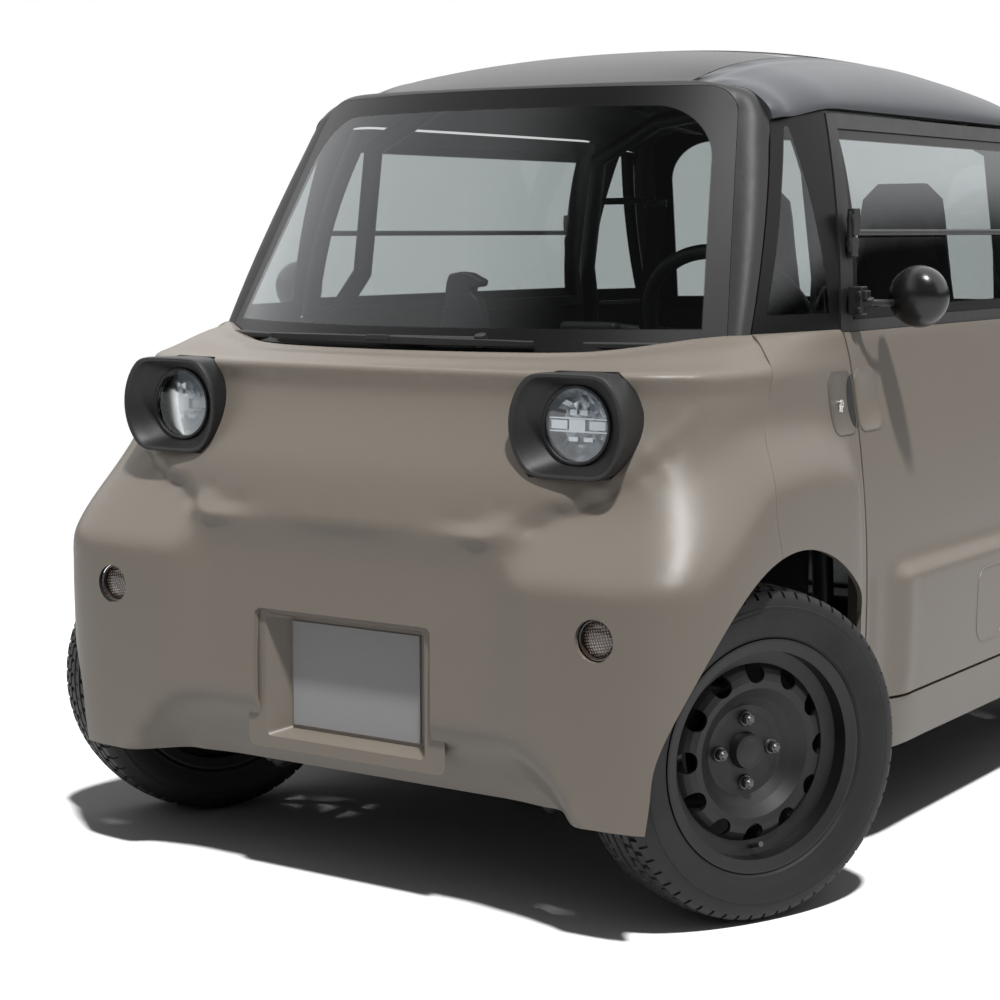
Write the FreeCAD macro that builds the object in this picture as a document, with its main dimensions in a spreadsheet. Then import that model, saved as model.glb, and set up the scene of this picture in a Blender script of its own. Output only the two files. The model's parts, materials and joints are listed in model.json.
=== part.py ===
import FreeCAD, Part
import math
import os
import re

os.makedirs("parts", exist_ok=True)

V = FreeCAD.Vector
X_AXIS = V(1, 0, 0)
Y_AXIS = V(0, 1, 0)
Z_AXIS = V(0, 0, 1)

doc = FreeCAD.newDocument("microcar")

# Driving dimensions, in millimetres and degrees.
# The car's front looks along -Y, its left side along +X, and the ground is Z = 0.
SIZES = (
    ("body_length", 2410, "overall length"),
    ("body_width", 1390, "width over the wheel arch flares"),
    ("roof_height", 1497, "height at the middle of the roof"),
    ("wheelbase", 1728, "between the axles"),
    ("half_track", 612, "middle of a tyre from the middle of the car"),
    ("kingpin_offset", 560, "steering axis from the middle of the car"),
    ("rest_steer", 25, "both front wheels stand turned to the car's right"),
    ("tyre_radius", 278.5, "outer radius of the tyre"),
    ("tyre_width", 155, "width over the side walls"),
    ("rim_radius", 195, "radius of the rim's outer lip"),
    ("rim_width", 128, "over the rim's two lips"),
    ("spindle_radius", 14, "stub axle that carries a wheel"),
    ("running_fit", 0.05, "radial clearance of a turning fit"),
    ("vent_radius", 18, "radius of a vent hole in the wheel disc"),
    ("vent_count", 12, "vent holes round the wheel disc"),
    ("bolt_circle", 54, "radius of the circle of wheel bolts"),
    ("brake_radius", 105, "radius of a brake disc or drum"),
    ("arch_radius", 335, "wheel arch opening"),
    ("sill_bottom", 192, "underside of the body"),
    ("sill_top", 288, "top of the sill"),
    ("belt_height", 962, "belt line at the door"),
    ("panel_wall", 8, "thickness of the outer body skins"),
    ("door_wall", 38, "thickness of a door panel"),
    ("roof_wall", 20, "thickness of the roof sides"),
    ("glass_wall", 5, "thickness of the glass"),
    ("door_half", 535, "door shut line from the middle of the car at the belt"),
    ("door_top_half", 452, "door shut line from the middle of the car at the roof"),
    ("hinge_offset", 694, "door hinge axis from the middle of the car"),
    ("shut_gap", 6, "gap between the door and its frame"),
    ("seam_gap", 0.8, "gap between fixed body panels"),
    ("seat_gap", 0.3, "clearance at seated faces"),
    ("lamp_offset", 422, "headlamp centre from the middle of the car"),
    ("lamp_height", 826, "headlamp centre above the ground"),
    ("lamp_radius", 63, "radius of a headlamp lens"),
    ("bezel_radius", 97, "radius of a lamp housing where it enters the body"),
    ("bezel_flat", 84, "flats of a lamp housing from its centre"),
    ("indicator_offset", 514, "indicator centre from the middle of the car"),
    ("indicator_height", 500, "indicator centre above the ground"),
    ("indicator_radius", 34, "radius of an indicator"),
    ("plate_width", 276, "width of the number plate"),
    ("plate_height", 186, "height of the number plate"),
    ("plate_centre", 369, "number plate centre above the ground"),
    ("plate_depth", 46, "depth of the plate's recess"),
    ("frame_tube", 19, "radius of the main frame tubes"),
    ("cross_tube", 16, "radius of the frame's cross tubes, towers and belt tubes"),
    ("rail_offset", 300, "main rail from the middle of the car"),
    ("rail_height", 165, "main rail above the ground"),
    ("floor_wall", 6, "thickness of the floor pan"),
    ("mirror_radius", 55, "radius of a door mirror"),
    ("mirror_offset", 706, "mirror centre from the middle of the car"),
    ("mirror_ahead", 426, "mirror centre ahead of the middle of the car"),
    ("mirror_height", 1018, "mirror centre above the ground"),
    ("wheel_ring", 172, "radius of the steering wheel's rim"),
    ("wheel_offset", 325, "steering wheel centre from the middle of the car"),
    ("wheel_ahead", 410, "steering wheel centre ahead of the middle of the car"),
    ("wheel_height", 945, "steering wheel centre above the ground"),
    ("wheel_tilt", 28, "slope of the steering column"),
    ("column_radius", 24, "radius of the steering column's tube"),
    ("dash_low", 800, "underside of the dashboard"),
    ("dash_high", 905, "top of the dashboard"),
    ("dash_ahead", 610, "dashboard's rear edge ahead of the middle of the car"),
    ("dash_depth", 210, "dashboard, along the car"),
    ("seat_height", 385, "underside of a seat base"),
    ("seat_half", 205, "half width of a seat"),
    ("driver_seat_x", 300, "driver's seat from the middle of the car"),
    ("driver_seat_y", 430, "driver's seat back behind the middle of the car"),
    ("rider_seat_x", -125, "passenger's seat from the middle of the car"),
    ("rider_seat_y", 550, "passenger's seat back behind the middle of the car"),
    ("motor_width", 360, "motor and gearbox block, across"),
    ("motor_length", 300, "motor and gearbox block, along the car"),
    ("motor_height", 230, "motor and gearbox block, up"),
    ("battery_width", 290, "battery box, across"),
    ("battery_length", 520, "battery box, along the car"),
    ("battery_height", 190, "battery box, up"),
)

sheet = doc.addObject("Spreadsheet::Sheet", "Sizes")
for row, (alias, value, meaning) in enumerate(SIZES, start=1):
    sheet.set("A%d" % row, meaning)
    sheet.set("B%d" % row, str(value))
    sheet.setAlias("B%d" % row, alias)
doc.recompute()


def size(name):
    return float(sheet.get(name))


half_length = size("body_length") / 2
half_width = size("body_width") / 2
roof_height = size("roof_height")
axle_y = size("wheelbase") / 2
hub_z = size("tyre_radius")
sill_bottom = size("sill_bottom")
sill_top = size("sill_top")
belt = size("belt_height")
panel_wall = size("panel_wall")
glass_wall = size("glass_wall")
shut_gap = size("shut_gap")
seam_gap = size("seam_gap")
seat_gap = size("seat_gap")
door_half = size("door_half")
door_top_half = size("door_top_half")
arch_radius = size("arch_radius")
tube = size("frame_tube")
rail_x = size("rail_offset")
rail_z = size("rail_height")
floor_z = rail_z + tube + seat_gap
lamp_x = size("lamp_offset")
lamp_z = size("lamp_height")
plate_z = size("plate_centre")

pieces = []
ENDS = ((-1, "front"), (1, "rear"))
SIDES = ((1, "left"), (-1, "right"))


# Smooth step from 0 to 1 between two values
def smooth(low, high, value):
    part = min(max((value - low) / (high - low), 0.0), 1.0)
    return part * part * (3.0 - 2.0 * part)


# Smooth curve through (station, value) pairs, with the slope at each taken from its neighbours
def through(pairs, at):
    if at <= pairs[0][0]:
        return pairs[0][1]
    if at >= pairs[-1][0]:
        return pairs[-1][1]
    last = len(pairs) - 1
    k = 0
    while at > pairs[k + 1][0]:
        k += 1

    def slope(i):
        low, high = max(i - 1, 0), min(i + 1, last)
        return (pairs[high][1] - pairs[low][1]) / (pairs[high][0] - pairs[low][0])

    span = pairs[k + 1][0] - pairs[k][0]
    t = (at - pairs[k][0]) / span
    value = (2 * t ** 3 - 3 * t ** 2 + 1) * pairs[k][1] + (3 * t ** 2 - 2 * t ** 3) * pairs[k + 1][1]
    value += (t ** 3 - 2 * t ** 2 + t) * span * slope(k) + (t ** 3 - t ** 2) * span * slope(k + 1)
    return value


def spaced(low, high, count):
    return [low + (high - low) * i / (count - 1) for i in range(count)]


def piece(label, obj):
    obj.Label = label
    pieces.append(obj)
    return obj


# A sub-part whose form comes from the body's surface functions
def formed(label, shape):
    obj = doc.addObject("Part::Feature", label)
    obj.Shape = shape
    return piece(label, obj)


DIMENSIONS = {
    "Box": ("Length", "Width", "Height"),
    "Cylinder": ("Radius", "Height"),
}
ALIASES = {alias for alias, value, meaning in SIZES}


# An expression with each alias in it led back to the sheet
def cells(text):
    return re.sub("[a-z_]+", lambda word: "Sizes." + word[0] if word[0] in ALIASES else word[0], str(text))


# Primitive whose sizes and place are expressions on the sheet
def primitive(kind, sizes, place, axis=Z_AXIS):
    obj = doc.addObject("Part::" + kind, kind.lower())
    obj.Placement = FreeCAD.Placement(V(), FreeCAD.Rotation(Z_AXIS, axis))
    for name, text in zip(DIMENSIONS[kind], sizes):
        obj.setExpression(name, cells(text))
    for letter, text in zip("xyz", place):
        obj.setExpression("Placement.Base." + letter, cells(text))
    return obj


def block(x_low, x_high, y_low, y_high, z_low, z_high):
    spans = ((x_low, x_high), (y_low, y_high), (z_low, z_high))
    lengths = ["(%s) - (%s)" % (high, low) for low, high in spans]
    return primitive("Box", lengths, [low for low, high in spans])


def mirror_of(obj, normal):
    twin = doc.addObject("Part::Mirroring", "mirrored")
    twin.Source = obj
    twin.Base = V(0, 0, 0)
    twin.Normal = normal
    return twin


# Like pieces on one body, as solids that do not touch
def gathered(label, objects):
    group = doc.addObject("Part::Compound", label)
    group.Links = objects
    return piece(label, group)


# Closed solid between two matching grids of points
def solid_between(outer, inner):
    surfaces = []
    for grid in (outer, inner):
        surface = Part.BSplineSurface()
        surface.interpolate(grid)
        surfaces.append(surface)
    faces = [surface.toShape() for surface in surfaces]
    edges = []
    for surface in surfaces:
        u_low, u_high, v_low, v_high = surface.bounds()
        edges.append((surface.uIso(u_low), surface.uIso(u_high), surface.vIso(v_low), surface.vIso(v_high)))
    for first, second in zip(*edges):
        faces.append(Part.makeRuledSurface(first.toShape(), second.toShape()))
    solid = Part.Solid(Part.Shell(faces))
    if solid.Volume < 0:
        solid.reverse()
    return solid


body_centre = V(0, 0, 650)


# The grid moved along its own normals by the wall, towards a point inside the car
def inward(grid, wall, centre):
    moved = []
    rows, columns = len(grid), len(grid[0])
    for i in range(rows):
        line = []
        for j in range(columns):
            along = grid[min(i + 1, rows - 1)][j] - grid[max(i - 1, 0)][j]
            across = grid[i][min(j + 1, columns - 1)] - grid[i][max(j - 1, 0)]
            normal = along.cross(across)
            normal.normalize()
            if normal.dot(grid[i][j] - centre) < 0:
                normal = normal * -1
            line.append(grid[i][j] - normal * wall)
        moved.append(line)
    return moved


def skin(grid, wall, centre=body_centre):
    return solid_between(grid, inward(grid, wall, centre))


# The same grid moved straight across the car or straight back
def slab(grid, shift):
    return solid_between(grid, [[point + shift for point in line] for line in grid])


def mirrored(shape, normal):
    return shape.mirror(V(0, 0, 0), normal)


def box(x_low, x_high, y_low, y_high, z_low, z_high):
    return Part.makeBox(x_high - x_low, y_high - y_low, z_high - z_low, V(x_low, y_low, z_low))


def fused(shapes):
    return shapes[0].multiFuse(shapes[1:])


# Round tube along straight runs, with a ball at each bend
def tube_run(points, radius):
    shapes = []
    for start, end in zip(points, points[1:]):
        shapes.append(Part.makeCylinder(radius, (end - start).Length, start, end - start))
    for point in points[1:-1]:
        shapes.append(Part.makeSphere(radius, point))
    return shapes


# Outer surface of the lower body.
# The side is X as a function of y and z, the face is the distance from the middle of the car
# as a function of x and z, and a rounded corner joins them.
SIDE_INSETS = (
    (0.0, 52), (0.08, 38), (0.18, 30), (0.37, 26), (0.55, 30), (0.73, 43), (0.89, 61), (1.0, 76),
)
shoulder_z = 722
flare_depth = 27
door_bulge_depth = 19
door_bulge_half = 425
door_bulge_top = 525
bulge_edge = 22
corner_x = 350
corner_y = 760
lip_z = 905


def side_x(y, z):
    a = abs(y)
    inset = through(SIDE_INSETS, (z - sill_bottom) / (belt - sill_bottom))
    top = shoulder_z - 128 * smooth(900, 1185, a) - 30 * (1 - smooth(door_half + 15, door_half + 215, a))
    flare = smooth(door_half + 8, door_half + 95, a) * (1 - smooth(top - 18, top + 105, z))
    bulge = 1 - smooth(door_bulge_half - bulge_edge, door_bulge_half + bulge_edge, a)
    bulge *= 1 - smooth(door_bulge_top - bulge_edge, door_bulge_top + bulge_edge, z)
    taper = 26 * smooth(820, 1150, a) * smooth(600, 800, z)
    return half_width - inset + flare_depth * flare * (inset / 28) ** 0.4 + door_bulge_depth * bulge - taper


CENTRE_LINE = (
    (192, -14), (300, -12), (400, -12), (500, -17), (580, -23), (625, -20), (645, -15),
    (668, -19), (740, -38), (800, -62), (850, -80), (880, -85), (905, -86),
)
BESIDE_LINE = (
    (192, -3), (400, -1), (560, -1), (582, -6), (605, -20), (640, -45), (680, -73),
    (720, -97), (780, -126), (850, -142), (905, -150),
)
MASK_EDGE = (
    (0, 636), (160, 638), (320, 665), (460, 707), (530, 758), (565, 805), (577, 850),
)
mask_bow = 215e-6
mask_side = 577
undercut_depth = 80
undercut_edge = 48


def face_y(x, z):
    a = abs(x)
    centre = through(CENTRE_LINE, z)
    beside = through(BESIDE_LINE, z)
    lower = centre + (beside - centre) * smooth(290, 388, a)
    mouth = 360 + 0.6 * (330 - z)
    under = (1 - smooth(mouth - undercut_edge, mouth + undercut_edge, a)) * (1 - smooth(186, 332, z))
    lower -= undercut_depth * under
    mask = centre - mask_bow * a * a
    weight = smooth(-15, 15, z - through(MASK_EDGE, a)) * (1 - smooth(mask_side - 12, mask_side + 16, a))
    return half_length + lower + (mask - lower) * weight


def corner_power(z):
    return 6.0 - 1.6 * smooth(620, 850, z)


# Plan point of a rounded corner, on a ray that leaves the corner's centre at an angle from
# straight ahead, for any pair of side and face functions
def corner_point(angle, z, side, face, power):
    x, y = corner_x + 150, corner_y + 200
    for _ in range(5):
        reach_x = side(y, z) - corner_x
        reach_y = face(x, z) - corner_y
        radius = ((math.sin(angle) / reach_x) ** power + (math.cos(angle) / reach_y) ** power) ** (-1 / power)
        x = corner_x + radius * math.sin(angle)
        y = corner_y + radius * math.cos(angle)
    return x, y


def side_at(y, z):
    a = abs(y)
    x = side_x(y, z)
    if a <= corner_y:
        return x
    power = corner_power(z)
    for _ in range(6):
        part = min((a - corner_y) / (face_y(min(x, half_width), z) - corner_y), 0.999)
        x = corner_x + (side_x(y, z) - corner_x) * (1 - part ** power) ** (1 / power)
    return x


# Seam between the end clip and the side panel
SEAM_LINE = (
    (192, 905), (600, 912), (680, 925), (760, 905), (840, 870), (905, 835), (962, 800),
)


def seam_y(z):
    return through(SEAM_LINE, z)


# Windscreen: its foot, its rake and bow, and the width that narrows upwards
screen_foot_z = 931
screen_foot_y = 1030
screen_rake = 0.614
screen_bow = 640e-6
screen_foot_x = 546
screen_edge_taper = 0.2126
screen_top_z = 1387
screen_corner = 65


def screen_y(x, z):
    return screen_foot_y - (z - screen_foot_z) * screen_rake - screen_bow * x * x


def screen_edge_x(z):
    return screen_foot_x - (z - screen_foot_z) * screen_edge_taper


def cowl_face(x, z):
    return screen_y(min(x, screen_foot_x), screen_foot_z) + 6


# Side glass and roof line
glass_foot_inset = 77
glass_fall = 87
glass_height = 390
roof_line_z = 1352
roof_line_drop = 25
roof_edge_lap = 5
roof_glass_half = 350
roof_power = 2.3


def glass_x(y, z):
    up = (z - belt) / glass_height
    ends = (57 + 63 * up) * (max(abs(y) - 450, 0) / 400) ** 1.2
    return half_width - glass_foot_inset - glass_fall * max(up, 0) ** 1.85 - ends


def cowl_side(y, z):
    return glass_x(y, belt)


def roof_edge_z(y):
    return roof_line_z - roof_line_drop * smooth(420, 620, abs(y))


def roof_crown(y):
    return roof_height - 112 * (abs(y) / 720) ** 2.2


def roof_edge_x(y):
    return glass_x(y, roof_edge_z(y)) + roof_edge_lap


# Point of the roof's cross-section: share 0 is the middle of the car and 1 the edge
def roof_point(share, y):
    angle = share * math.pi / 2
    x = roof_edge_x(y) * math.sin(angle) ** (2 / roof_power)
    z = roof_edge_z(y) + (roof_crown(y) - roof_edge_z(y)) * math.cos(angle) ** (2 / roof_power)
    return x, z


def roof_z(x, y):
    part = min(abs(x) / roof_edge_x(y), 0.9999)
    return roof_edge_z(y) + (roof_crown(y) - roof_edge_z(y)) * (1 - part ** roof_power) ** (1 / roof_power)


# Ledge that bends the body's side in from the lip to the foot of the side glass
def ledge_point(y_low, y_high, share):
    y = y_low + (y_high - y_low) * share
    x_low = side_at(y_low, lip_z)
    x = x_low + (glass_x(y_high, belt) - x_low) * share
    return x, y, lip_z + (belt - lip_z) * math.sin(share * math.pi / 2)


# Half plan curve of the end clip at one level, from the middle to the seam
def clip_line(z, side, face, power, end_y):
    line = [(x, face(x, z)) for x in spaced(0, corner_x, 13)]
    low, high = 0.2, math.pi / 2 - 0.01
    for _ in range(30):
        middle = (low + high) / 2
        if corner_point(middle, z, side, face, power)[1] > end_y:
            low = middle
        else:
            high = middle
    for angle in spaced(0, high, 18)[1:]:
        line.append(corner_point(angle, z, side, face, power))
    return line


CLIP_LEVELS = (
    197, 215, 236, 258, 280, 302, 324, 350, 385, 425, 465, 505, 540, 566, 588, 608,
    626, 644, 662, 682, 704, 728, 752, 778, 804, 830, 856, 880, lip_z,
)


def clip_grid():
    halves = []
    for z in CLIP_LEVELS:
        line = clip_line(z, side_x, face_y, corner_power(z), seam_y(z) + seam_gap / 2)
        halves.append([(x, y, z) for x, y in line])
    lip = halves[-1]
    foot = clip_line(belt, cowl_side, cowl_face, 3.6, seam_y(belt) + seam_gap / 2)
    for part in (0.16, 0.36, 0.58, 0.8, 1.0):
        line = []
        for j, ((x0, y0, z0), (x1, y1)) in enumerate(zip(lip, foot)):
            z1 = screen_foot_z - 2 + (belt - screen_foot_z) * smooth(0.3, 1.0, j / (len(lip) - 1))
            rise = math.sin(part * math.pi / 2)
            line.append((x0 + (x1 - x0) * part, y0 + (y1 - y0) * part, z0 + (z1 - z0) * rise))
        halves.append(line)
    grid = []
    for line in halves:
        right = [V(-x, -y, z) for x, y, z in reversed(line[1:])]
        grid.append(right + [V(x, -y, z) for x, y, z in line])
    return grid


# Wheel arch as a solid to cut away: round above the hub, straight down below it
arch_inner_x = 385
arch_full_x = 470
arch_inner_radius = 262
arch_outer_x = 800
arch_set_back = 12
arch_rear_limit = 578


def arch_cutter(side, end):
    centre_y = axle_y - arch_set_back
    centre = V(side * arch_inner_x, end * centre_y, hub_z)
    outward = V(side, 0, 0)
    full = centre + outward * (arch_full_x - arch_inner_x)
    dome = Part.makeCone(arch_inner_radius, arch_radius, arch_full_x - arch_inner_x, centre, outward)
    round_part = dome.fuse(Part.makeCylinder(arch_radius, arch_outer_x - arch_full_x, full, outward))
    leg = box(arch_full_x, arch_outer_x, arch_rear_limit, centre_y + arch_radius, 0, hub_z)
    cap = box(arch_inner_x - 1, arch_outer_x + 1, arch_rear_limit, centre_y + arch_radius + 1,
              hub_z, hub_z + arch_radius + 1)
    if side < 0:
        leg, cap = mirrored(leg, X_AXIS), mirrored(cap, X_AXIS)
    if end < 0:
        leg, cap = mirrored(leg, Y_AXIS), mirrored(cap, Y_AXIS)
    return round_part.common(cap).fuse(leg)


# Rounded rectangle in an XZ plane
def rounded_wire(half_x, half_z, radius, y, centre_z):
    arcs = []
    for side_x_sign, side_z_sign, start in ((1, 1, 0), (-1, 1, 90), (-1, -1, 180), (1, -1, 270)):
        middle = V(side_x_sign * (half_x - radius), y, centre_z + side_z_sign * (half_z - radius))
        arc = []
        for step in (0, 45, 90):
            angle = math.radians(start + step)
            arc.append(middle + V(radius * math.cos(angle), 0, radius * math.sin(angle)))
        arcs.append(arc)
    edges = []
    for k, arc in enumerate(arcs):
        edges.append(Part.Arc(*arc).toShape())
        edges.append(Part.makeLine(arc[2], arcs[(k + 1) % 4][0]))
    return Part.Wire(edges)


plate_x = size("plate_width") / 2
plate_half_z = size("plate_height") / 2
bumper_inset = 14
plate_y = half_length - bumper_inset - size("plate_depth")
recess_spread = 66
recess_rise = 30
recess_margin = 6


def plate_recess(grow, y_front, y_back):
    front = rounded_wire(plate_x + recess_spread + grow, plate_half_z + recess_rise + grow, 16, -y_front, plate_z)
    back = rounded_wire(plate_x + recess_margin + grow, plate_half_z + recess_margin + grow, 6, -y_back, plate_z)
    return Part.makeLoft([front, back], True, True)


# Lamp housing: a round body cut flat above and below, with a flared mouth
bezel_front = 1146
bezel_back = 1058
bezel_flare = 14
lens_y = 1112
lens_depth = 40


def bezel_body(x, grow):
    radius = size("bezel_radius") + grow
    flat = size("bezel_flat") + grow
    cone = Part.makeCone(radius + bezel_flare, radius, bezel_front - bezel_back, V(x, -bezel_front, lamp_z), Y_AXIS)
    return cone.common(box(x - 2 * radius, x + 2 * radius, -bezel_front - 1, -bezel_back + 1,
                           lamp_z - flat, lamp_z + flat))


def bezel(x):
    mouth = Part.makeCone(size("bezel_radius") - 6, size("lamp_radius") + seat_gap, bezel_front - lens_y,
                          V(x, -bezel_front - 1, lamp_z), Y_AXIS)
    bore = Part.makeCylinder(size("lamp_radius") + seat_gap, bezel_front, V(x, -bezel_front, lamp_z), Y_AXIS)
    return bezel_body(x, 0).cut([mouth, bore])


def end_clip():
    shell = skin(clip_grid(), panel_wall)
    recess = plate_recess(0, half_length + 20, plate_y)
    tray = plate_recess(panel_wall, half_length - 24, plate_y - panel_wall)
    shell = shell.cut(plate_recess(0, half_length + 20, plate_y - 60))
    shell = shell.fuse(tray.cut(recess))
    shell = shell.cut([arch_cutter(side, -1) for side in (-1, 1)])
    holes = []
    for side in (-1, 1):
        holes.append(bezel_body(side * lamp_x, seat_gap))
        centre = V(side * size("indicator_offset"), -half_length - 50, size("indicator_height"))
        holes.append(Part.makeCylinder(size("indicator_radius") + seat_gap, 200, centre, Y_AXIS))
    return shell.cut(holes)


front_clip = formed("front_clip", end_clip())
piece("rear_clip", mirror_of(front_clip, Y_AXIS))

# Door hinges: a pin on the side panel in a barrel on the door
hinge_x = size("hinge_offset")
hinge_y = door_half + shut_gap / 2
HINGE_LEVELS = (340, 560)
barrel_radius = 9
barrel_height = 30
eye_height = 15
pin_radius = 5
hinge_lap = 34
leaf_top = 6


def hinge_pins(side, end):
    shapes = []
    for z in HINGE_LEVELS:
        top = z + barrel_height + shut_gap
        low_x = side_at(hinge_y + hinge_lap, top) - panel_wall
        leaf = box(low_x, hinge_x + leaf_top, door_half + shut_gap, hinge_y + hinge_lap, top, top + eye_height)
        eye = Part.makeCylinder(barrel_radius, eye_height, V(hinge_x, hinge_y, top), Z_AXIS)
        pin = Part.makeCylinder(pin_radius, top - z, V(hinge_x, hinge_y, z + 2), Z_AXIS)
        shapes += [leaf, eye, pin]
    return placed_copies(shapes, side, end)


def hinge_barrels(side, end):
    solids, bores = [], []
    for z in HINGE_LEVELS:
        low_x = side_at(hinge_y - hinge_lap, z) - panel_wall
        solids.append(box(low_x, hinge_x + leaf_top, hinge_y - hinge_lap, door_half, z, z + barrel_height))
        solids.append(Part.makeCylinder(barrel_radius, barrel_height, V(hinge_x, hinge_y, z), Z_AXIS))
        bores.append(Part.makeCylinder(pin_radius + size("running_fit"), 2 * barrel_height,
                                       V(hinge_x, hinge_y, z - barrel_height / 2), Z_AXIS))
    return placed_copies(solids, side, end), placed_copies(bores, side, end)


# Shapes drawn on the car's left rear, mirrored to any side and end
def placed_copies(shapes, side, end):
    if side < 0:
        shapes = [mirrored(shape, X_AXIS) for shape in shapes]
    if end < 0:
        shapes = [mirrored(shape, Y_AXIS) for shape in shapes]
    return shapes


PANEL_LEVELS = (
    192, 230, 275, 330, 390, 450, 505, 550, 590, 625, 655, 685, 715, 745, 775, 810, 860, lip_z,
)


# Side panel between the clip's seam and the door
def side_panel(side, end):
    start = door_half + shut_gap
    grid = []
    for z in PANEL_LEVELS:
        stop = seam_y(z) - seam_gap / 2
        grid.append([V(side * side_at(y, z), end * y, z) for y in spaced(start, stop, 16)])
    low_line = spaced(start, seam_y(lip_z) - seam_gap, 16)
    high_line = spaced(start, seam_y(belt) - seam_gap, 16)
    for share in (0.35, 0.7, 1.0):
        line = [ledge_point(low, high, share) for low, high in zip(low_line, high_line)]
        grid.append([V(side * x, end * y, z) for x, y, z in line])
    shape = skin(grid, panel_wall).cut(arch_cutter(side, end))
    if side * end > 0:
        shape = shape.multiFuse(hinge_pins(side, end))
    return shape


for side, side_name in SIDES:
    for end, end_name in ENDS:
        formed("side_panel_%s_%s" % (end_name, side_name), side_panel(side, end))


# Sill under the door
sill_wall = 24


def sill(side):
    half = door_half + shut_gap - seam_gap
    grid = []
    for z in spaced(sill_bottom, sill_top, 6):
        grid.append([V(side * side_at(y, z), y, z) for y in spaced(-half, half, 13)])
    return skin(grid, sill_wall)


formed("sill_left", sill(1))
formed("sill_right", sill(-1))

# Door panel, as thick as the whole door, hung at the rear on the left and at the front on the right
DOOR_LEVELS = (330, 370, 410, 450, 485, 510, 530, 550, 580, 630, 690, 750, 810, 865, lip_z)
door_top_share = 0.72
door_top_z = lip_z + (belt - lip_z) * math.sin(door_top_share * math.pi / 2)


def door(side):
    grid = []
    stations = spaced(-door_half, door_half, 31)
    for z in (sill_top + shut_gap,) + DOOR_LEVELS:
        grid.append([V(side * side_at(y, z), y, z) for y in stations])
    for share in (door_top_share / 2, door_top_share):
        line = [ledge_point(y, y, share) for y in stations]
        grid.append([V(side * x, y, z) for x, y, z in line])
    panel = slab(grid, V(-side * size("door_wall"), 0, 0))
    solids, bores = hinge_barrels(side, side)
    return panel.multiFuse(solids).cut(bores)


formed("door_left", door(1))
formed("door_right", door(-1))


# The side glass and its frames follow the surface above the belt
def shut_y(z):
    return door_half + (door_top_half - door_half) * (max(z - belt, 0) / glass_height) ** 1.5


def pane(side, low, high, start, stop, wall, offset=0.0, rows=8, columns=10):
    grid = []
    for t in spaced(0, 1, rows):
        line = []
        for part in spaced(0, 1, columns):
            z = low
            for _ in range(3):
                y = start(z) + (stop(z) - start(z)) * part
                z = low + (high(y) - low) * t
            line.append(V(side * (glass_x(y, z) - offset), y, z))
        grid.append(line)
    return slab(grid, V(-side * wall, 0, 0))


pillar_foot_width = 24
pillar_top_width = 38


# Outer edge of the windscreen pillar
def pillar_y(z):
    width = pillar_foot_width + (pillar_top_width - pillar_foot_width) * smooth(screen_foot_z, roof_line_z, z)
    return screen_y(screen_edge_x(z), z) - width


pane_gap = 4


def under_roof(y):
    return roof_edge_z(y) - 2 * seam_gap


def quarter_pane(side, end):
    def start(z):
        return end * (shut_y(z) + shut_gap)

    def stop(z):
        return end * (pillar_y(z) - pane_gap)

    return pane(side, belt + seat_gap, under_roof, start, stop, glass_wall)


for side, side_name in SIDES:
    panes = Part.makeCompound([quarter_pane(side, -1), quarter_pane(side, 1)])
    formed("quarter_glass_%s" % side_name, panes)

# Door window: a frame that stands on the door, its glass and the bar across it
frame_rail = 34
frame_depth = 24
frame_foot = 16
window_bar_z = 1131
bar_radius = 6


def window_frame(side):
    whole = pane(side, door_top_z + seat_gap, lambda y: under_roof(y) - shut_gap,
                 lambda z: -shut_y(z), shut_y, frame_depth, 0, 9, 15)
    hole = pane(side, belt + frame_foot, lambda y: under_roof(y) - frame_rail,
                lambda z: frame_rail - shut_y(z), lambda z: shut_y(z) - frame_rail,
                80, -20, 9, 15)
    return whole.cut(hole)


def door_glass(side):
    edge = frame_rail + seat_gap
    return pane(side, belt + frame_foot + seat_gap, lambda y: under_roof(y) - edge,
                lambda z: edge - shut_y(z), lambda z: shut_y(z) - edge, glass_wall, 3, 9, 15)


def window_bar(side):
    x = glass_x(0, window_bar_z) + bar_radius + 3
    half = shut_y(window_bar_z) - 12
    bar = Part.makeCylinder(bar_radius, 2 * half, V(x, -half, window_bar_z), Y_AXIS)
    bracket_half = 42
    low_x = glass_x(half - 22, window_bar_z - bracket_half) + seam_gap
    bracket = box(low_x, x + 8, half - 22, half + 8, window_bar_z - bracket_half, window_bar_z + bracket_half)
    shape = fused([bar, bracket, mirrored(bracket, Y_AXIS)])
    return shape if side > 0 else mirrored(shape, X_AXIS)


for side, side_name in SIDES:
    formed("window_frame_%s" % side_name, window_frame(side))
    formed("door_glass_%s" % side_name, door_glass(side))
    formed("window_bar_%s" % side_name, window_bar(side))


# Right half of the windscreen's outline, from the foot up, round the corner and along the top
def screen_side(gap, pillar_count, arc_count, top_count):
    lean = math.atan(screen_edge_taper)
    turn = math.pi / 2 - lean
    reach = screen_corner * math.tan(turn / 2)
    top = screen_top_z - gap
    corner = (screen_edge_x(top) - gap, top)
    arc_low = (corner[0] + reach * math.sin(lean), corner[1] - reach * math.cos(lean))
    arc_high = (corner[0] - reach, corner[1])
    points = []
    foot = screen_foot_z + 2 + gap
    for z in spaced(foot, arc_low[1], pillar_count):
        points.append((screen_edge_x(z) - gap, z))
    centre = (arc_high[0], top - screen_corner)
    for angle in spaced(lean, math.pi / 2, arc_count)[1:]:
        points.append((centre[0] + screen_corner * math.cos(angle), centre[1] + screen_corner * math.sin(angle)))
    for x in spaced(arc_high[0], 0, top_count)[1:]:
        points.append((x, top))
    return points


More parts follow.
